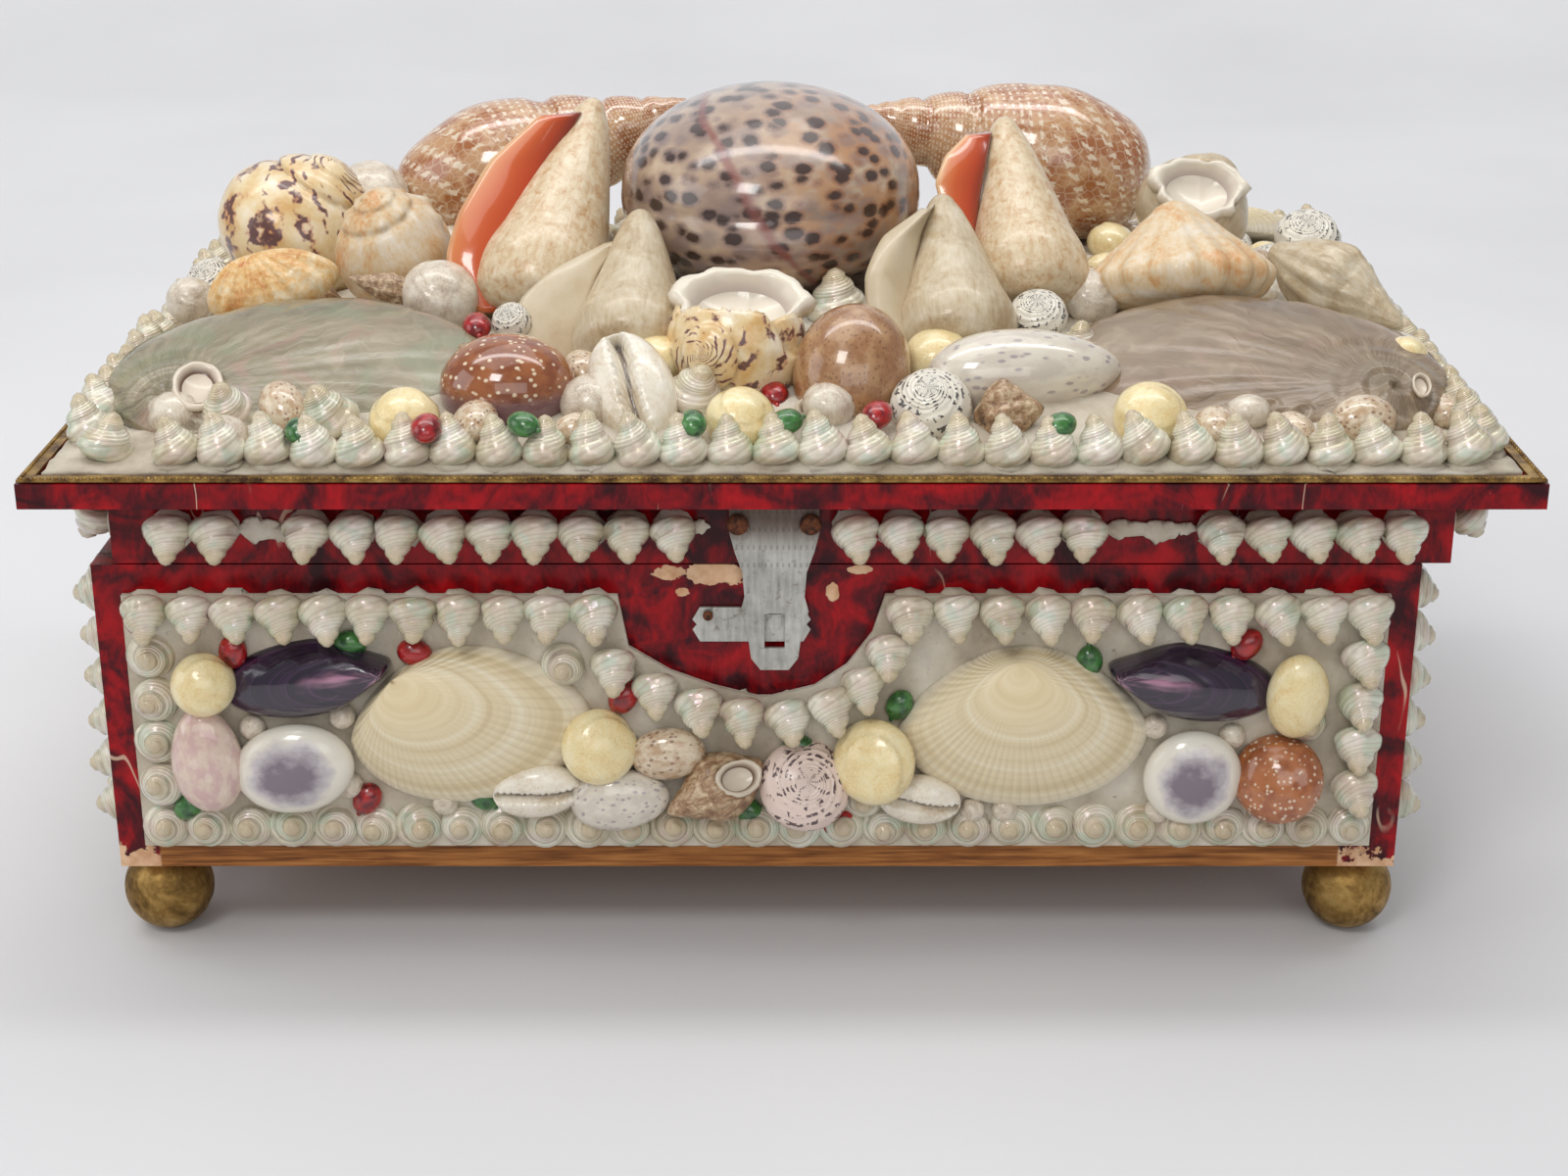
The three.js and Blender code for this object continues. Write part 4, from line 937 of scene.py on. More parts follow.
CONE = [
    (0, -0.06), (0.5, -0.05), (0.86, 0.03), (1, 0.17), (0.95, 0.3), (0.78, 0.48), (0.56, 0.66),
    (0.38, 0.82), (0.23, 0.94), (0, 1)
]
CONCH = [
    (0, -0.5), (0.45, -0.495), (0.82, -0.46), (0.98, -0.39), (1, -0.32), (0.82, -0.12), (0.62, 0.1),
    (0.42, 0.3), (0.22, 0.45), (0.1, 0.49), (0, 0.5)
]
TENT = [
    (0, -0.8), (0.6, -0.8), (0.88, -0.7), (1, -0.46), (0.82, -0.2), (0.55, 0.06), (0.3, 0.32), (0.12, 0.46),
    (0, 0.5)
]
SPIRE = [
    (0, -0.5), (0.4, -0.5), (0.82, -0.38), (1, -0.18), (0.8, 0.04), (0.52, 0.22), (0.24, 0.4), (0.06, 0.49),
    (0, 0.5)
]
WHELK = [
    (0, -0.5), (0.22, -0.49), (0.42, -0.4), (0.85, -0.2), (1, -0.02), (0.72, 0.16), (0.42, 0.32),
    (0.16, 0.46), (0, 0.5)
]
GLOBE = [
    (0, -0.5), (0.55, -0.48), (0.94, -0.24), (1, 0.0), (0.84, 0.26), (0.5, 0.42), (0.2, 0.49), (0, 0.5)
]
TURBAN = [
    (0, -0.5), (0.6, -0.46), (0.96, -0.22), (1, -0.04), (0.84, 0.16), (0.54, 0.34), (0.24, 0.46), (0, 0.5)
]


def top_shell(height=TOP_HEIGHT, radius=TOP_RADIUS, around=24, rows=28):
    return turned(
        CONE, radius, height, whorls=4.0, growth=1.8, bulge=0.14, crease=0.11, around=around, rows=rows,
        soft=0.17
    )


def globe(radius, length, **more):
    settings = {"growth": 2.3, "whorls": 2.6, "around": 40, "rows": 34, **more}
    return turned(GLOBE, radius, length, **settings)


def whelk(radius, length, **more):
    settings = {"growth": 1.6, "whorls": 4.5, "ribs": 13, "rib": 0.07, "around": 52, "rows": 44, **more}
    return turned(WHELK, radius, length, **settings)


def spaced(corners, pitch=TOP_PITCH):
    corners = [np.array(c, float) for c in corners]
    points = [corners[0]]
    for a, b in zip(corners, corners[1:]):
        count = max(1, round(np.linalg.norm(b - a) / pitch))
        points += [a + (b - a) * k / count for k in range(1, count + 1)]
    return points


def row_of_tops(name, body, points, out, level, lean, height, node, sink=0.6, fine=(24, 28)):
    """Small pearly shells in a row, each set a little differently, on beads of white glue.
    lean is where the tips point, or a function that gives it for a place."""
    out = np.array(out, float)
    shells = []
    beads = []
    for at in points:
        aim = lean(at) if callable(lean) else lean
        tip = unit(np.array(aim, float) + rng.normal(0, 0.09, 3))
        facing_out = out[1] < 0 and tip.dot(out) > 0.9
        tall = height * rng.uniform(0.92, 1.04) * (0.7 if facing_out else 1)
        wide = TOP_RADIUS * rng.uniform(0.99, 1.08)
        shell = top_shell(tall, wide, *fine)
        shells.append(press(shell, at, out, level - sink, axis=unit(tip), spin=rng.uniform(0, 360)))
        bead = egg(4.3, 4.3, 1.6, 10, 6)
        rough = 1 + rng.normal(0, 0.06, len(bead[0]))
        base = at - out * at.dot(out) + out * (level - 0.4)
        beads.append(put(scaled(bead, rough, rough, rough), base, out, spin=rng.uniform(0, 360)))
    piece(name, body, "pearl", shells, replaces=[node])
    piece(name + "_glue", body, "plaster", beads)


def front_rows():
    def on_panel(x, z):
        return (x + CASE_X, 0, z)

    corners = [
        (-ROW_HALF, ROW_TOP), *DIP, (ROW_HALF, ROW_TOP), (ROW_HALF, ROW_BOTTOM), (-ROW_HALF, ROW_BOTTOM),
        (-ROW_HALF, ROW_TOP)
    ]
    points = spaced([on_panel(*c) for c in corners], 8.45)[1:]
    halfway = (ROW_TOP + ROW_BOTTOM) / 2

    def lean(at):
        """Tips hang in the upper row and the dip, face out below, and turn down and in at the right."""
        if abs(at[0] - CASE_X) < ROW_HALF - 1 and at[2] > halfway or at[2] > ROW_TOP - 1:
            return (0.1, -0.62, -0.78)
        if at[0] > CASE_X + ROW_HALF - 1 and at[2] > ROW_BOTTOM + 1:
            return (0.1, -0.8, -0.6)
        return (0, -1, 0.12)

    row_of_tops(
        "front_tops", "box", points, FORWARD, FRONT_LEVEL, lean, TOP_HEIGHT + 1, "front_border", 1.2
    )


def side_rows():
    for side, out, bed in (("left", (-1, 0, 0), LEFT_BED), ("right", (1, 0, 0), RIGHT_BED)):
        corners = [
            (-SIDE_HALF, ROW_BOTTOM), (-SIDE_HALF, ROW_TOP), (SIDE_HALF, ROW_TOP), (SIDE_HALF, ROW_BOTTOM),
            (-SIDE_HALF, ROW_BOTTOM)
        ]
        points = spaced([(0, *c) for c in corners])[1:]
        row_of_tops(
            side + "_side_tops", "box", points, out, bed - SINK, (out[0], 0, -0.2), SIDE_TOP_HEIGHT,
            side + "_side_shells", fine=(20, 20)
        )
        cockles = []
        for step in (-1, 0, 1):
            at = (0, step * SIDE_COCKLE_STEP, (ROW_TOP + ROW_BOTTOM) / 2)
            shell = valve(44, ROW_TOP - ROW_BOTTOM - 9, 6.2, beak=(0.1 * step, 0.5), ribs=30, rib=0.22)
            cockles.append(press(shell, at, out, bed - SINK, right=(0, 1 if out[0] > 0 else -1, 0)))
        piece(side + "_side_cockles", "box", "cockle", cockles)


def lid_rows():
    corners = [
        (-112, -BORDER_Y), (BORDER_X - 4.6, -BORDER_Y), (BORDER_X, -BORDER_Y + 7.4), (BORDER_X, BORDER_Y),
        (-BORDER_X, BORDER_Y), (-BORDER_X, -72)
    ]
    points = spaced([(*c, 0) for c in corners])
    row_of_tops(
        "lid_tops", "lid", points, UP, mound_low[2] + 1.2, (-0.2, 0.1, 1), TOP_HEIGHT + 1.6, "lid_border"
    )


def frame_rows():
    hang = (0.08, -0.6, -0.8)
    for name in ("far_left", "left", "right", "far_right"):
        low, high = mm_box("frame_shells_" + name)
        ends = [(low[0] + TOP_RADIUS, 0, FRAME_ROW_Z), (high[0] - TOP_RADIUS, 0, FRAME_ROW_Z)]
        row_of_tops(
            "frame_tops_" + name, "lid", spaced(ends), FORWARD, -frame_low[1] + 0.4, hang, TOP_HEIGHT + 0.6,
            "frame_shells_" + name
        )
    glue = [
        (-99, 89.2, 4.2, 2.4), (-94.6, 88.6, 2.6, 1.6), (64.6, 89.4, 4.4, 1.8), (71.2, 88.8, 3.6, 2.2),
        (76, 89.6, 2.6, 1.2), (-15.6, 90, 2, 1.4)
    ]
    dabs = [
        press(scrap(wide, tall, 0.7), (x, 0, z), FORWARD, -frame_low[1] - 0.3) for x, z, wide, tall in glue
    ]
    piece("frame_glue_marks", "lid", "plaster", dabs)
    for side, out in (("left_side", (-1, 0, 0)), ("right_side", (1, 0, 0))):
        low, high = mm_box("frame_shells_" + side)
        ends = [(0, low[1] + TOP_RADIUS, FRAME_ROW_Z), (0, high[1] - TOP_RADIUS, FRAME_ROW_Z)]
        sideways = (out[0] * 0.6, 0, -0.8)
        row_of_tops(
            "frame_tops_" + side, "lid", spaced(ends), out, FRAME_END + 0.4, sideways, TOP_HEIGHT - 1,
            "frame_shells_" + side, fine=(20, 20)
        )


def scrap(half_width, half_height, thickness):
    """A ragged dab of dried glue."""
    dab = egg(half_width, half_height, thickness, 40, 12)
    x, y, _ = dab[0].T
    turn = np.arctan2(y / half_height, x / half_width)
    coarse = 0.16 * np.sin(5 * turn + half_width)
    fine = 0.1 * np.sin(11 * turn + 2) + 0.08 * np.sin(17 * turn)
    ragged = 1 + coarse + fine
    return scaled(dab, ragged, ragged, 1)


def on_front(shape, x, z, spin=0.0, axis=FORWARD, sink=0.0, mirror=False):
    """The form on the front panel, at a place measured from the case's middle."""
    return press(
        shape, (x + CASE_X, 0, z), FORWARD, FRONT_LEVEL - sink, axis=axis, spin=spin, mirror=mirror
    )


def front_shells():
    cockle_left = valve(
        47.5, 33, 8.9, beak=(-0.26, 0.47), around=176, rows=34, ribs=88, rib=0.07, pinch=0.2, ring=0.004
    )
    cockle_right = valve(
        49, 34, 9.2, beak=(-0.04, 0.5), around=176, rows=34, ribs=80, rib=0.08, pinch=0.26, ring=0.004
    )
    piece(
        "cockle_left_shell", "box", "cockle", [on_front(cockle_left, -55.3, 49.8, 8)], ["cockle_left"],
    )
    piece(
        "cockle_right_shell", "box", "cockle", [on_front(cockle_right, 51.8, 49.3)], ["cockle_right"],
    )
    mussel = lambda: valve(
        33.5, 15.5, 8, beak=(-0.455, 0.12), around=96, rows=40, pinch=-0.08, rings=7, ring=0.008, taper=0.5
    )
    piece(
        "mussel_left_shell", "box", "mussel", [on_front(mussel(), -86.7, 59.6, 8, mirror=True)],
        ["mussel_left"]
    )
    piece(
        "mussel_right_shell", "box", "mussel", [on_front(mussel(), 84.1, 58.8, -8)], ["mussel_right"],
    )

    pink = egg(7, 11, 4.8, point=0.1, flat=0.1)
    worn = egg(11.8, 9.2, 4.6, flat=0.1)
    piece(
        "pink_cowrie", "box", "pink_cowrie", [on_front(pink, -106.2, 43.9, 4)], ["front_left_shells"],
    )
    worn_ones = [on_front(worn, -89.6, 41.8, 10), on_front(egg(9.6, 9.8, 4.6, flat=0.1), 84.6, 39.9, -20)]
    piece("worn_cowries", "box", "worn_cowrie", worn_ones)
    tilted = (0.2, -0.9, 0.35)
    yellow = [
        on_front(globe(6.2, 9), -105.6, 59.8, 40, axis=tilted),
        on_front(stood(egg(6, 9.2, 4.8)), 103.6, 57.4, 0, axis=(0.0, -0.2, 1)),
    ]
    piece("yellow_nerites", "box", "yellow", yellow)
    brown = [on_front(globe(8.8, 9.5), 101, 39.9, 60, axis=(-0.3, -0.85, 0.4), sink=1.2)]
    piece("brown_nerite", "box", "nerite_brown", brown, ["front_right_shells"])

    moons = [
        on_front(globe(7.4, 8), -30.3, 46.8, 30, axis=tilted),
        on_front(globe(8.4, 8.6), 22.6, 44, -40, axis=(-0.4, -0.85, 0.3)),
    ]
    piece("moon_shells", "box", "yellow", moons, ["front_centre_shells"])
    toothed = [
        on_front(toothed_cowrie(5.4, 8.8, 4.4), -42.6, 37.2, 98),
        on_front(toothed_cowrie(5.0, 8.2, 4.4), 31.6, 35.4, 84),
    ]
    piece("toothed_cowries", "box", "white_cowrie", toothed)
    piece(
        "blotched_cowrie", "box", "blotched", [on_front(egg(7.4, 5.3, 3.8), -17.2, 44.8, 6)],
    )
    olive = egg(6.4, 9.8, 4.5, point=0.12)
    piece("front_olive", "box", "olive", [on_front(olive, -26.6, 35.4, -86)])
    small_whelk = on_front(
        whelk(6.8, 21, ribs=17, rib=0.06), -7.8, 38.2, 0, axis=(-0.88, -0.16, -0.42), sink=2.2
    )
    gap = ((CASE_X - 3.4, -FRONT_LEVEL - 8.0, 41.6), (0.25, -0.75, 0.6))
    small_whelk = hollowed(small_whelk, *gap, 4.6, 3.6, 3.4)
    piece("front_whelk", "box", "whelk", [small_whelk])
    opening = put(mouth(4.6, 3.4, lip=1.1, depth=2.2), *gap, spin=20)
    piece("front_whelk_mouth", "box", "mouth", [opening])
    dotted = globe(9, 9.5)
    piece(
        "front_spotted_nerite",
        "box",
        "nerite_pink",
        [on_front(dotted, 9.4, 38.6, 20, axis=(0.1, -0.8, 0.5), sink=1.6)],
    )
    extra = [
        on_front(top_shell(6.5, 4.4), 20.7, 34.6),
        on_front(top_shell(6.5, 4.3), 106.3, 50.8),
        on_front(top_shell(6.5, 4.4), -37.1, 62.6),
    ]
    piece("front_loose_tops", "box", "pearl", extra)


def seed(size):
    body = egg(size * 0.5, size * 0.62, size * 0.42, 18, 12)
    stub = put(egg(size * 0.1, size * 0.14, size * 0.1, 8, 6), (0, size * 0.62, 0))
    return joined([body, stub])


FRONT_RED_SEEDS = [(-105.1, 64.9), (-70, 65.1), (-81.2, 34), (-30.6, 55.9), (11, 29.1), (88.9, 66.8)]
FRONT_GREEN_SEEDS = [
    (-82.9, 67), (-116.3, 32.5), (-58.5, 34.6), (3.6, 45.2), (-6.1, 31), (22.7, 53.9), (59, 63.7)
]
FRONT_WHITE_BITS = [
    (-84.9, 51.8), (-84.3, 37.2), (-102.5, 49.5), (-65.9, 33.4), (72.2, 49.7), (87.3, 47.7), (73.5, 31.7),
    (43.7, 31.9), (37.3, 31.7)
]
LID_RED_SEEDS = [(-60.5, -45, 118.9), (-65.3, -88, 111.2), (-1.5, -66, 111), (17.8, -80, 111.3)]
LID_GREEN_SEEDS = [
    (-89.1, -86, 110), (-47.4, -88, 111.9), (-16.4, -86, 111.5), (0.9, -84, 111.2), (51.4, -86, 111.1)
]


def seeds():
    def on_panel(places, size):
        return [
            press(seed(size), (x, 0, z), FORWARD, FRONT_LEVEL - 0.6, spin=rng.uniform(0, 360))
            for x, z in places
        ]

    def on_lid(places, size):
        return [put(seed(size), at, (0, -0.3, 1), spin=rng.uniform(0, 360)) for at in places]

    piece("front_red_seeds", "box", "red_seed", on_panel(FRONT_RED_SEEDS, 5.6))
    piece("front_green_seeds", "box", "green_seed", on_panel(FRONT_GREEN_SEEDS, 5.2))
    bits = [
        press(
            globe(2.6, 4.6, around=20, rows=14), (x, 0, z), FORWARD, FRONT_LEVEL - 0.4,
            spin=rng.uniform(0, 360)
        )
        for x, z in FRONT_WHITE_BITS
    ]
    piece("front_white_bits", "box", "moon", bits)
    piece("lid_red_seeds", "lid", "red_seed", on_lid(LID_RED_SEEDS, 5.8))
    piece("lid_green_seeds", "lid", "green_seed", on_lid(LID_GREEN_SEEDS, 5.4))


def mound_height(x, y):
    """The lid's plaster rises from its edge to a low flat crown."""
    inner_x = mound_high[0] - 0.2
    inner_y = mound_high[1] - 0.2
    bow = np.maximum(0, 1 - np.abs(x / inner_x) ** 4) * np.maximum(0, 1 - np.abs(y / inner_y) ** 2.6)
    edge = mound_low[2] + 1.2
    return edge + (mound_high[2] - edge) * bow


def lid_plaster():
    """The plaster over the lid, lumpy where it was pressed down by hand."""
    columns, rows = 96, 64
    x = np.linspace(mound_low[0], mound_high[0], columns)
    y = np.linspace(mound_low[1], mound_high[1], rows)
    yy, xx = np.meshgrid(y, x, indexing="ij")
    lumps = sum(
        np.sin(xx * a + b) * np.cos(yy * c + d)
        for a, b, c, d in ((0.31, 1, 0.27, 2), (0.53, 4, 0.61, 1), (0.17, 2, 0.9, 5))
    )
    z = mound_height(xx, yy) + 0.28 * lumps - 0.4
    z = np.clip(z, mound_low[2] + 0.3, mound_high[2])
    top = vectors(xx, yy, z)
    low = vectors(xx, yy, mound_low[2])
    sheet = np.concatenate([top.reshape(-1, 3), low.reshape(-1, 3)])
    faces = grid_faces(rows, columns, False)
    index = np.arange(rows * columns).reshape(rows, columns)
    loop = np.concatenate([index[0, :-1], index[:-1, -1], index[-1, :0:-1], index[:0:-1, 0]])
    after = np.roll(loop, -1)
    count = rows * columns
    wall = np.stack([loop, loop + count, after + count, after], axis=-1)
    everything = np.concatenate([faces, faces[:, ::-1] + count, wall])
    grow = np.zeros_like(sheet)
    piece(
        "lid_mound", "lid", "plaster", [(sheet, sheet / 100, grow, everything)], ["lid_plaster"]
    )


def big_cowrie():
    low, high = mm_box("tiger_cowrie")
    middle = (low + high) / 2
    half = (high - low) / 2
    shell = egg(*(half * 0.985), 96, 72, point=0.08)
    below = np.maximum(0, -shell[1][:, 2])
    shell = put(scaled(shell, 1 + 0.1 * below, 1 + 0.3 * below, 1), middle)
    piece("tiger_cowrie_shell", "lid", "tiger", [shell], ["tiger_cowrie"])


def conch_body(base, tip, radius):
    """A conch stood on its spire: a smooth cone that narrows to its open end."""
    base = np.array(base, float)
    tip = np.array(tip, float)
    shape = turned(
        CONCH, radius, np.linalg.norm(tip - base), growth=9.0, bulge=0.05, crease=0.05, around=64, rows=60
    )
    return put(shape, (base + tip) / 2, tip - base, spin=120)


def conchs():
    left = conch_body((-51.5, -29, 115), (-39.5, 5, 155), 13.8)
    right = conch_body((51.5, -27, 117), (46.8, 5, 151), 12.8)
    piece("conch_orange_left_shell", "lid", "conch_orange", [left], ["conch_orange_left"])
    piece(
        "conch_orange_right_shell", "lid", "conch_orange", [right], ["conch_orange_right"]
    )
    line_left = [(-42, -3, 153.5), (-46.5, -9, 145), (-50.5, -17, 136), (-53.5, -23, 128), (-55, -28, 118)]
    line_right = [(44, -2, 149), (42.5, -8, 144), (41, -13, 137), (40, -18, 130)]
    lip_left = flange(line_left, [8.5, 14.2, 16, 15.2, 8], curl=3.4, thickness=2.4)
    lip_right = flange(line_right, [5.5, 9, 10, 7.5, 3], curl=2, thickness=2.4)
    piece("orange_lip_left", "lid", "lip", [lip_left])
    piece("orange_lip_right", "lid", "lip", [lip_right])
    white_left = conch_body((-29.8, -51, 112), (-28.8, -22, 137), 12.0)
    white_right = conch_body((35.2, -49, 113), (32.6, -19, 139.5), 12.2)
    line_left = [(-33, -29, 132), (-37, -36, 127), (-39, -44, 119), (-38, -51, 111)]
    line_right = [(31, -25, 139), (27.5, -33, 133), (26, -42, 123), (28, -51, 113)]
    wing_left = flange(line_left, [3, 9, 14, 13, 6], curl=1.5, thickness=3)
    wing_right = flange(line_right, [3, 8, 10, 9, 5], curl=6, thickness=2.6)
    piece(
        "conch_white_left_shell", "lid", "conch_white", [white_left, wing_left], ["conch_white_left"],
    )
    piece(
        "conch_white_right_shell", "lid", "conch_white", [white_right, wing_right], ["conch_white_right"],
    )


def pheasants():
    for side, at, axis, radius, length in (
        ("left", (-54, 55, 132), (0.93, 0, 0.36), 18.2, 73),
        ("right", (50.5, 55, 134.5), (-0.97, 0, 0.25), 18.2, 69),
    ):
        shape = turned(
            SPIRE, radius, length, growth=1.55, whorls=4.4, bulge=0.1, crease=0.08, around=80, rows=76
        )
        piece(
            f"pheasant_{side}_shell", "lid", "pheasant", [put(shape, at, axis)], ["pheasant_" + side],
        )


def abalones():
    normal = (0, -0.4, 0.92)
    left = put(ear_shell(74, 46, 9, (-0.66, -0.36)), (-93.8, -55.6, 111.2), normal, spin=8)
    right = put(ear_shell(74, 46, 9, (0.7, -0.3)), (92.4, -54.6, 111.4), normal, spin=-8)
    gap = ((-111.4, -68.0, 113.4), (0.2, -0.48, 0.84))
    left = hollowed(left, *gap, 4.6, 6.0, 4)
    holes = [
        put(mouth(4.6, 6.0, lip=0.8, depth=1.3), *gap),
        put(mouth(1.9, 2.7, lip=0.5, depth=1.4), (122.3, -66.9, 113.2), (0.3, -0.6, 0.74), spin=-10),
    ]
    piece("abalone_left_shell", "lid", "nacre_green", [left], ["abalone_left"])
    piece("abalone_right_shell", "lid", "nacre_taupe", [right], ["abalone_right"])
    # The holes' dark insides are painted shade from the mouth finish.
    piece("abalone_holes", "lid", "mouth", holes)


def middle_shells():
    rim = ((-8, -52.4, 125.2), (0.04, -0.46, 0.89))
    turban = put(
        turned(
            TURBAN, 14.2, 26, growth=1.9, whorls=3.6, bulge=0.1, crease=0.1, around=72, rows=56, knobs=10,
            knob=0.04
        ),
        (-10, -57, 118),
        (-0.35, -0.7, 0.1),
    )
    turban = hollowed(turban, *rim, 12.2, 9.2, 7)
    piece("turban_shell", "lid", "flamed", [turban], ["turban_centre"])
    hollow = put(mouth(12.6, 9.4, lip=2.4, depth=6.4, jag=0.1), *rim)
    piece("turban_mouth", "lid", "pale_mouth", [hollow])
    bulla = put(stood(egg(11.3, 13.6, 9.8, 56, 44)), (13.4, -63, 114.5), (0.2, 0.45, 0.85))
    piece("bulla_shell", "lid", "bulla", [bulla], ["bulla_brown"])
    gape = put(mouth(4.4, 2.6, lip=0.8, depth=2), (6.8, -73.4, 110.4), (-0.35, -0.85, 0.3))
    piece("bulla_mouth", "lid", "mouth", [gape])
    olive = put(egg(8.8, 19.2, 8.5, 56, 48, point=0.14), (46.7, -62, 114.2), UP, spin=-80)
    piece("olive_shell", "lid", "olive", [olive], ["olive_pale"])
    snake = put(egg(13.2, 11.8, 10.3, 56, 44), (-52.5, -66, 112.5), UP)
    piece("snakehead_shell", "lid", "snakehead", [snake], ["snakehead_cowrie"])
    toothed = put(toothed_cowrie(8.2, 12.6, 7.6), (-28.4, -70, 113), (-0.1, -0.7, 0.7), spin=20)
    piece("toothed_shell", "lid", "white_cowrie", [toothed], ["toothed_cowrie"])


def end_shells():
    turbo = put(
        turned(TURBAN, 17.6, 32, growth=1.8, whorls=4, bulge=0.1, crease=0.1, around=64, rows=56),
        (-104.9, 15, 126.6),
        (0.55, 0.0, 0.75),
    )
    piece("turbo_left", "lid", "flamed", [turbo], ["left_end_shells"])
    piece(
        "moon_left",
        "lid",
        "moon",
        [put(globe(9.4, 14), (-94.8, 40, 126.7), (-0.3, -0.5, 0.8))],
    )
    knobbed = turned(TURBAN, 12.6, 26, growth=1.7, bulge=0.08, knobs=9, knob=0.14)
    piece(
        "knobbed_left",
        "lid",
        "orange_limpet",
        [put(knobbed, (-81.9, -10, 127.4), (-0.2, -0.3, 0.9))],
    )
    ark = valve(28, 15, 7, beak=(-0.1, 0.5), around=130, ribs=22, rib=0.42)
    piece(
        "ark_left",
        "lid",
        "orange_ark",
        [put(ark, (-104.4, -25, 121.6), (-0.1, -0.6, 0.8), spin=16)],
    )
    points, own, grow, faces = turned(TENT, 19.4, 17.5, growth=9, ribs=19, rib=0.035, around=114, rows=40)
    limpet = (points * np.array([1, 0.78, 1]), own, grow, faces)
    piece(
        "limpet_right",
        "lid",
        "orange_limpet",
        [put(limpet, (81.8, -16.5, 129.3), (-0.06, 0.42, 0.9))],
        ["right_end_shells"],
    )
    rim = ((89.6, 6.6, 135.4), (0.1, -0.66, 0.74))
    broken = put(
        turned(TURBAN, 12.6, 24, growth=1.8, around=56, rows=48), (90.8, 15, 130.5), (0.5, 0.3, 0.7)
    )
    broken = hollowed(broken, *rim, 9.6, 7.2, 5)
    piece("turbo_right", "lid", "conch_white", [broken])
    pale = put(mouth(9.8, 7.4, lip=2.0, depth=4.6, jag=0.11), *rim)
    piece("turbo_right_mouth", "lid", "pale_mouth", [pale])
    piece(
        "whelk_right",
        "lid",
        "conch_white",
        [put(whelk(8.8, 34), (115.6, -17, 119.6), (0.66, -0.62, -0.3))],
    )
    yellow = [
        put(globe(6.8, 10.5), (-70.6, -80, 110.4), (-0.2, -0.6, 0.8), spin=30),
        put(globe(6.8, 10.5), (-7.5, -80, 110.4), (0.3, -0.6, 0.8), spin=90),
        put(globe(7.2, 11), (69.3, -78, 110.4), (0.2, -0.6, 0.8), spin=200),
        put(globe(4.4, 8), (123.1, -50, 114.0), (0.2, -0.6, 0.8)),
    ]
    piece("lid_yellow_nerites", "lid", "yellow", yellow)
    spotted = [
        put(globe(7.8, 11.5), (28.1, -74, 111.4), (-0.1, -0.6, 0.8), spin=60),
        put(globe(7.2, 9), (114.5, 10, 124.4), (-0.1, -0.5, 0.8)),
        put(globe(5.2, 8.5), (-123, 0, 117), (-0.1, -0.5, 0.8)),
        put(globe(4, 7), (-53.6, -45, 120.0), (-0.1, -0.5, 0.8)),
        put(globe(6, 7.5), (51.3, -40, 120.2), (-0.1, -0.5, 0.8)),
    ]
    piece("lid_spotted_nerites", "lid", "nerite_spotted", spotted)
    grey = [
        put(globe(8, 12), (-69.4, -30, 121.6), (0.3, -0.5, 0.8), spin=20),
        put(globe(6, 9.5), (63.8, -25, 119.8), (0.3, -0.5, 0.8), spin=70),
        put(globe(5.1, 9), (-124, -15, 116.6), (0.3, -0.5, 0.8), spin=70),
    ]
    piece("lid_moons", "lid", "moon", grey)
    slender = [
        put(whelk(6, 13.5, ribs=9, rib=0.12), (42.8, -76, 110.4), (0.9, -0.2, 0.2)),
        put(whelk(3.3, 16, ribs=9), (-80.3, -30, 122.8), (-0.9, -0.1, 0.3)),
    ]
    piece("lid_whelks", "lid", "whelk", slender)
    back_row()


def back_row():
    """Plainer shells along the lid's hidden back edge."""
    low, high = mm_box("back_shells")
    count = 6
    length = (high[0] - low[0]) / count
    shells = {"limpet": [], "moon": [], "cockle": []}
    kinds = list(shells)
    for k in range(count):
        at = (low[0] + length * (k + 0.5), (low[1] + high[1]) / 2, (low[2] + high[2]) / 2 - 2)
        shape = valve(length * 0.96, (high[1] - low[1]) * 0.96, (high[2] - low[2]) * 0.42, ribs=28, rib=0.3)
        shells[kinds[k % 3]].append(put(shape, at, (0, 0.35, 0.93), spin=180 + 12 * (k % 2)))
    for k, kind in enumerate(kinds):
        piece("back_" + kind, "lid", kind, shells[kind], ["back_shells"] if k == 0 else [])


def filler(kind, size):
    """A small shell of a kind, for a gap."""
    if kind == "white_cowrie":
        return toothed_cowrie(size * 0.72, size, size * 0.66, teeth=9, around=34, rows=24)
    if kind == "whelk":
        return whelk(size * 0.7, size * 2.1, around=26, rows=24)
    if kind == "blotched":
        return egg(size * 0.75, size, size * 0.66, 26, 18)
    if kind == "pearl":
        return top_shell(size * 1.6, size, 22, 24)
    return globe(size, size * 1.5, around=22, rows=17)


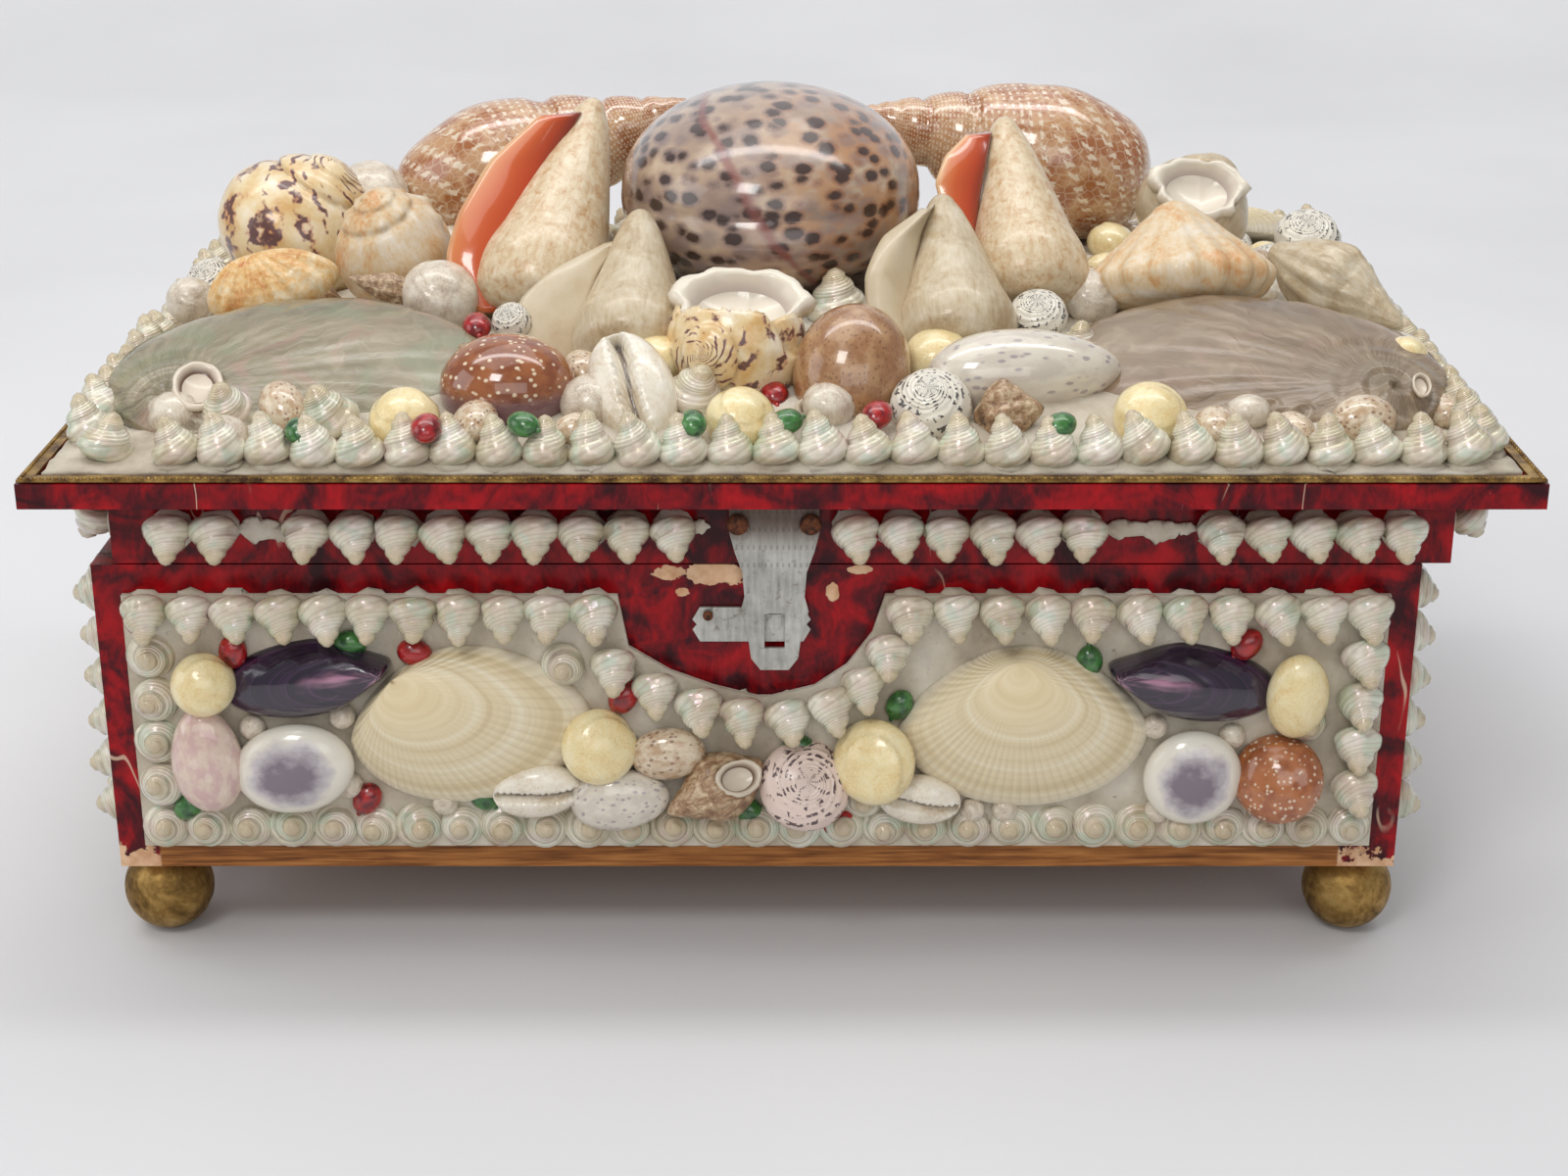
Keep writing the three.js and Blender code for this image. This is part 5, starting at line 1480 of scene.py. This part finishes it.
def fillers():
    """Small shells pressed into the gaps between the large ones, seen mostly at the sides and back."""
    taken = [mm_box(node) for node in GAP_KEEPERS]
    kinds = {kind: [] for kind in GAP_KINDS}
    for _ in range(1500):
        x = rng.uniform(mound_low[0] + 8, mound_high[0] - 8)
        y = rng.uniform(mound_low[1] + 8, mound_high[1] - 6)
        size = rng.uniform(4.2, 6.8)
        level = mound_height(x, y)
        inside = any(low[0] + 2 < x < high[0] - 2 and low[1] + 2 < y < high[1] - 2 for low, high in taken)
        if inside or any(math.hypot(x - a, y - b) < (size + r) * 0.92 for a, b, r in FILLED):
            continue
        FILLED.append((x, y, size))
        some = GAP_KINDS if y > FRONT_GAPS_Y else FRONT_GAP_KINDS
        kind = some[rng.integers(len(some))]
        axis = (rng.normal(0, 0.35), rng.normal(-0.25, 0.35), 1)
        spin = rng.uniform(0, 360)
        if kind == "whelk":
            axis = (math.cos(spin), math.sin(spin), 0.25)
        rise = size * (0.3 if kind != "pearl" else -0.1)
        kinds[kind].append(put(filler(kind, size), (x, y, level + rise), axis, spin=spin))
    for kind, shapes in kinds.items():
        if shapes:
            piece("lid_gap_" + kind, "lid", kind, shapes)


GAP_KINDS = ["yellow", "nerite_spotted", "moon", "white_cowrie", "whelk", "blotched", "pearl"]
FRONT_GAP_KINDS = ["moon", "pearl", "blotched"]
FRONT_GAPS_Y = -58
GAP_KEEPERS = [
    "tiger_cowrie", "conch_orange_left", "conch_orange_right", "conch_white_left", "conch_white_right",
    "pheasant_left", "pheasant_right", "abalone_left", "abalone_right", "turban_centre", "bulla_brown",
    "olive_pale", "snakehead_cowrie", "toothed_cowrie", "back_shells"
]
FILLED = [(x, y, 4) for x, y, _ in LID_RED_SEEDS + LID_GREEN_SEEDS]
FILLED += [
    (-70.6, -80, 7), (-7.5, -80, 7), (69.3, -78, 7), (123.1, -50, 5), (28.1, -74, 8), (42.8, -76, 7),
    (114.5, 10, 7), (-123, 0, 6), (-53.6, -45, 4), (51.3, -40, 6), (-69.4, -30, 8), (63.8, -25, 6),
    (-124, -15, 5), (-80.3, -30, 7), (-104.9, 15, 17), (-94.8, 40, 9), (-81.9, -10, 12), (-103.1, -25, 12),
    (80.1, -20, 17), (90.8, 15, 12), (114, -18, 14)
]


# Finishes that differ only in their colours and numbers: the maker, then what it is given
LOOKS = {
    "nacre_green": (
        nacre, (176, 164, 138), (142, 131, 105), (98, 89, 68), (126, 142, 110), (166, 128, 114), 0.26
    ),
    "nacre_taupe": (
        nacre, (174, 155, 129), (136, 115, 91), (94, 75, 57), (137, 123, 101), (150, 121, 100), 0.28
    ),
    "orange_ark": (bleached, (232, 214, 178), (220, 176, 110), (190, 112, 44), 0.4, 0.3, 2.4),
    "limpet": (bleached, (216, 196, 166), (174, 146, 114), (116, 90, 68), 0.5),
    "pheasant": (netted, (196, 152, 112), (164, 102, 60), (230, 214, 190), 12.0, 44.0),
    "conch_orange": (bleached, (224, 208, 178), (210, 186, 150), (188, 142, 94), 0.34, 0.35, 6.0),
    "conch_white": (bleached, (210, 198, 174), (195, 177, 146), (168, 143, 108), 0.34, 0.35, 1.7),
    # Painted shade: the deepest colour of each mouth stands in for the shade inside its hollow.
    "mouth": (shadowed_mouth, (26, 18, 14), (112, 84, 66), (214, 200, 180)),
    "pale_mouth": (shadowed_mouth, (150, 134, 128), (196, 182, 174), (228, 218, 200)),
    "bulla": (speckled, (150, 104, 66), (178, 138, 98), (104, 68, 44), 13.0, 0.26, 0.6),
    "olive": (speckled, (222, 214, 198), (208, 198, 184), (142, 128, 138), 5.2, 0.18, 0.65),
    "snakehead": (
        speckled, (158, 94, 52), (132, 70, 36), (232, 212, 182), 7.6, 0.14, 0.9, ((124, 90, 94), 0.2, -0.1)
    ),
    "blotched": (speckled, (220, 204, 178), (190, 160, 128), (120, 78, 56), 4.0, 0.2, 0.7),
    "pink_cowrie": (speckled, (220, 198, 180), (206, 172, 166), (232, 216, 200), 2.4, 0.14, 0.5),
    "worn_cowrie": (ringed, (232, 226, 212), (196, 188, 190), (120, 108, 120)),
    "white_cowrie": (cowrie_with_painted_slot_shade, (240, 234, 220), (232, 222, 204), (206, 186, 156), 0.18, 0.8, 1.2),
    "yellow": (bleached, (240, 228, 188), (236, 216, 162), (222, 190, 128), 0.18, 0.9, 0.9),
    "moon": (bleached, (228, 220, 204), (208, 194, 174), (168, 150, 132), 0.22, 0.7, 1.3),
    "whelk": (bleached, (212, 190, 156), (160, 124, 90), (84, 56, 40), 0.4, 0.4, 2.4),
    "nerite_brown": (speckled, (176, 108, 62), (150, 82, 44), (232, 214, 188), 7.0, 0.2, 0.7),
    "nerite_pink": (checkered, (226, 204, 192), (66, 42, 50), 4.0, 9.0),
    "orange_limpet": (bleached, (224, 212, 194), (216, 190, 150), (204, 136, 66), 0.42, 0.25, 1.4),
    "nerite_spotted": (checkered, (226, 220, 206), (44, 38, 46), 4.0, 9.0),
    "red_seed": (glossy_seed, (176, 28, 30), (92, 8, 16)),
    "green_seed": (glossy_seed, (70, 128, 62), (28, 66, 34)),
}


def make_materials():
    makers = [
        marbled_paper, front_paper, bare_wood, aged_brass, tinned_sheet, rusty_nail, gilt_paper,
        rough_plaster, pearl, ribbed_cream, mussel_dark, tiger_spots, orange_lip, flamed
    ]
    for make in makers:
        make()
    for name, (make, *look) in LOOKS.items():
        make(name, *look)


def dress_cad():
    """The finish of every CAD node that stays."""
    dressed = {
        "front_paper": ["case_front"],
        "paper": [
            "case_back", "case_left_end", "case_right_end", "lid_board", "frame_front", "frame_back",
            "frame_left", "frame_right"
        ],
        "wood": ["case_floor"],
        "plaster": ["front_plaster", "left_plaster", "right_plaster"],
        "tin": ["catch_plate", "hasp", *(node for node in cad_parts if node.startswith("hinge"))],
        "gilt": ["gilt_edging"],
    }
    for kind, nodes in dressed.items():
        for node in nodes:
            data = bpy.data.objects[node].data
            data.materials.clear()
            data.materials.append(FINISHES[kind])


NAILS_X = (-8.3, 5.4)
NAIL_Z = 91.4
PLATE_NAIL = (-14.1, 0, 72.4)


def nails():
    """Rusty nail heads in the hasp's top and in the catch plate."""
    hasp_front = -mm_box("hasp")[0][1]
    plate_front = -mm_box("catch_plate")[0][1]
    heads = [press(egg(2.1, 2.1, 0.9, 24, 16), (x, 0, NAIL_Z), FORWARD, hasp_front - 0.9) for x in NAILS_X]
    piece("hasp_nails", "lid", "nail", heads)
    small = [press(egg(1.0, 1.0, 0.6, 20, 12), PLATE_NAIL, FORWARD, plate_front - 0.4)]
    piece("plate_nail", "box", "nail", small)


def gilt_beads():
    """The pressed beading along the outer edge of the gilt strip."""
    low, high = mm_box("gilt_edging")
    corners = [
        (low[0] + 0.7, high[1] - 0.8, 0), (low[0] + 0.7, low[1] + 0.6, 0), (high[0] - 0.7, low[1] + 0.6, 0),
        (high[0] - 0.7, high[1] - 0.8, 0)
    ]
    beads = []
    for at in spaced(corners, 1.3):
        along = abs(at[1] - low[1]) < 1
        bead = egg(0.34, 0.6, 0.36, 6, 5)
        beads.append(put(bead, (at[0], at[1], high[2] + 0.05), UP, spin=90 - 20 if along else -20))
    piece("gilt_beading", "lid", "gilt", beads)


def ball_feet():
    """Turned balls with a fine seam where their halves meet."""
    for node in [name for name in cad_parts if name.startswith("ball_foot")]:
        low, high = mm_box(node)
        ball = stood(egg(*((high - low) / 2 * 0.985), 56, 48))
        seam = 1 - 0.03 * bell(ball[1][:, 2], 0.035)
        ball = put(scaled(ball, seam, seam, 1), (low + high) / 2)
        piece(node + "_ball", "box", "brass", [ball], [node])


def stage():
    """A pale cloth floor that runs up behind the box, a soft light above the front and a fill."""
    s = Shader("pale_cloth", roughness=0.9)
    place = s.position()
    weave = s.noise(place, 900, 2)
    cloud = s.noise(place, 3, 3)
    s.set("Base Color", s.ramp(cloud, (0.3, (208, 208, 210)), (0.7, (219, 219, 221))))
    s.bump(weave, 0.12, 0.2)
    mesh = bpy.data.meshes.new("floor")
    wide, end, bend = 3.0, 0.9, 0.6
    turn = np.linspace(0.1, math.pi / 2, 14)
    curve = [(end + bend * math.sin(a), bend - bend * math.cos(a)) for a in turn]
    rise = [(-1.6, 0.0), (end, 0.0), *curve, (end + bend, 2.4)]
    points = [(x, y, z) for y, z in rise for x in (-wide, wide)]
    faces = [(2 * k, 2 * k + 1, 2 * k + 3, 2 * k + 2) for k in range(len(rise) - 1)]
    mesh.from_pydata(points, [], faces)
    mesh.shade_smooth()
    floor = bpy.data.objects.new("floor", mesh)
    bpy.context.collection.objects.link(floor)
    mesh.materials.append(FINISHES["pale_cloth"])

    def lamp(name, place, size, power, colour=(1, 1, 1), aim=(0, 0, 0.08)):
        data = bpy.data.lights.new(name, "AREA")
        data.shape = "RECTANGLE"
        data.size, data.size_y = size
        data.energy = power
        data.color = colour
        made = bpy.data.objects.new(name, data)
        made.location = place
        made.rotation_euler = (Vector(aim) - Vector(place)).to_track_quat("-Z", "Y").to_euler()
        bpy.context.collection.objects.link(made)

    lamp("softbox_top", (-0.1, 0.15, 1.3), (1.5, 1.1), 6.4, (1.0, 0.99, 0.97))
    lamp("softbox_front", (0.15, -1.3, 0.65), (1.2, 0.6), 3.3, (1.0, 0.985, 0.965))
    lamp("wall_wash", (0, 0.2, 1.7), (2.6, 0.5), 20, (1.0, 1.0, 1.0), aim=(0, 1.7, 0.6))
    lamp("softbox_left", (-1.3, -0.3, 0.6), (0.8, 0.8), 3, (0.98, 0.99, 1.0))
    lamp("window", (-0.35, -0.85, 1.0), (0.32, 0.32), 3.5, (1.0, 1.0, 0.98))
    world = bpy.data.worlds.new("room")
    world.use_nodes = True
    world.node_tree.nodes["Background"].inputs[0].default_value = (0.96, 0.97, 1.0, 1)
    world.node_tree.nodes["Background"].inputs[1].default_value = 0.35
    bpy.context.scene.world = world
    bpy.context.scene.view_settings.view_transform = "Standard"


def camera():
    data = bpy.data.cameras.new("camera")
    data.lens = LENS
    data.sensor_width = 36
    data.clip_start = 0.02
    made = bpy.data.objects.new("camera", data)
    made.location = CAMERA_PLACE
    made.rotation_euler = (math.radians(CAMERA_TILT), 0, 0)
    bpy.context.collection.objects.link(made)
    bpy.context.scene.camera = made


camera()
make_materials()
dress_cad()
ball_feet()
nails()
gilt_beads()
front_rows()
side_rows()
lid_rows()
frame_rows()
front_shells()
lid_plaster()
big_cowrie()
conchs()
pheasants()
abalones()
middle_shells()
end_shells()
fillers()
seeds()
stage()
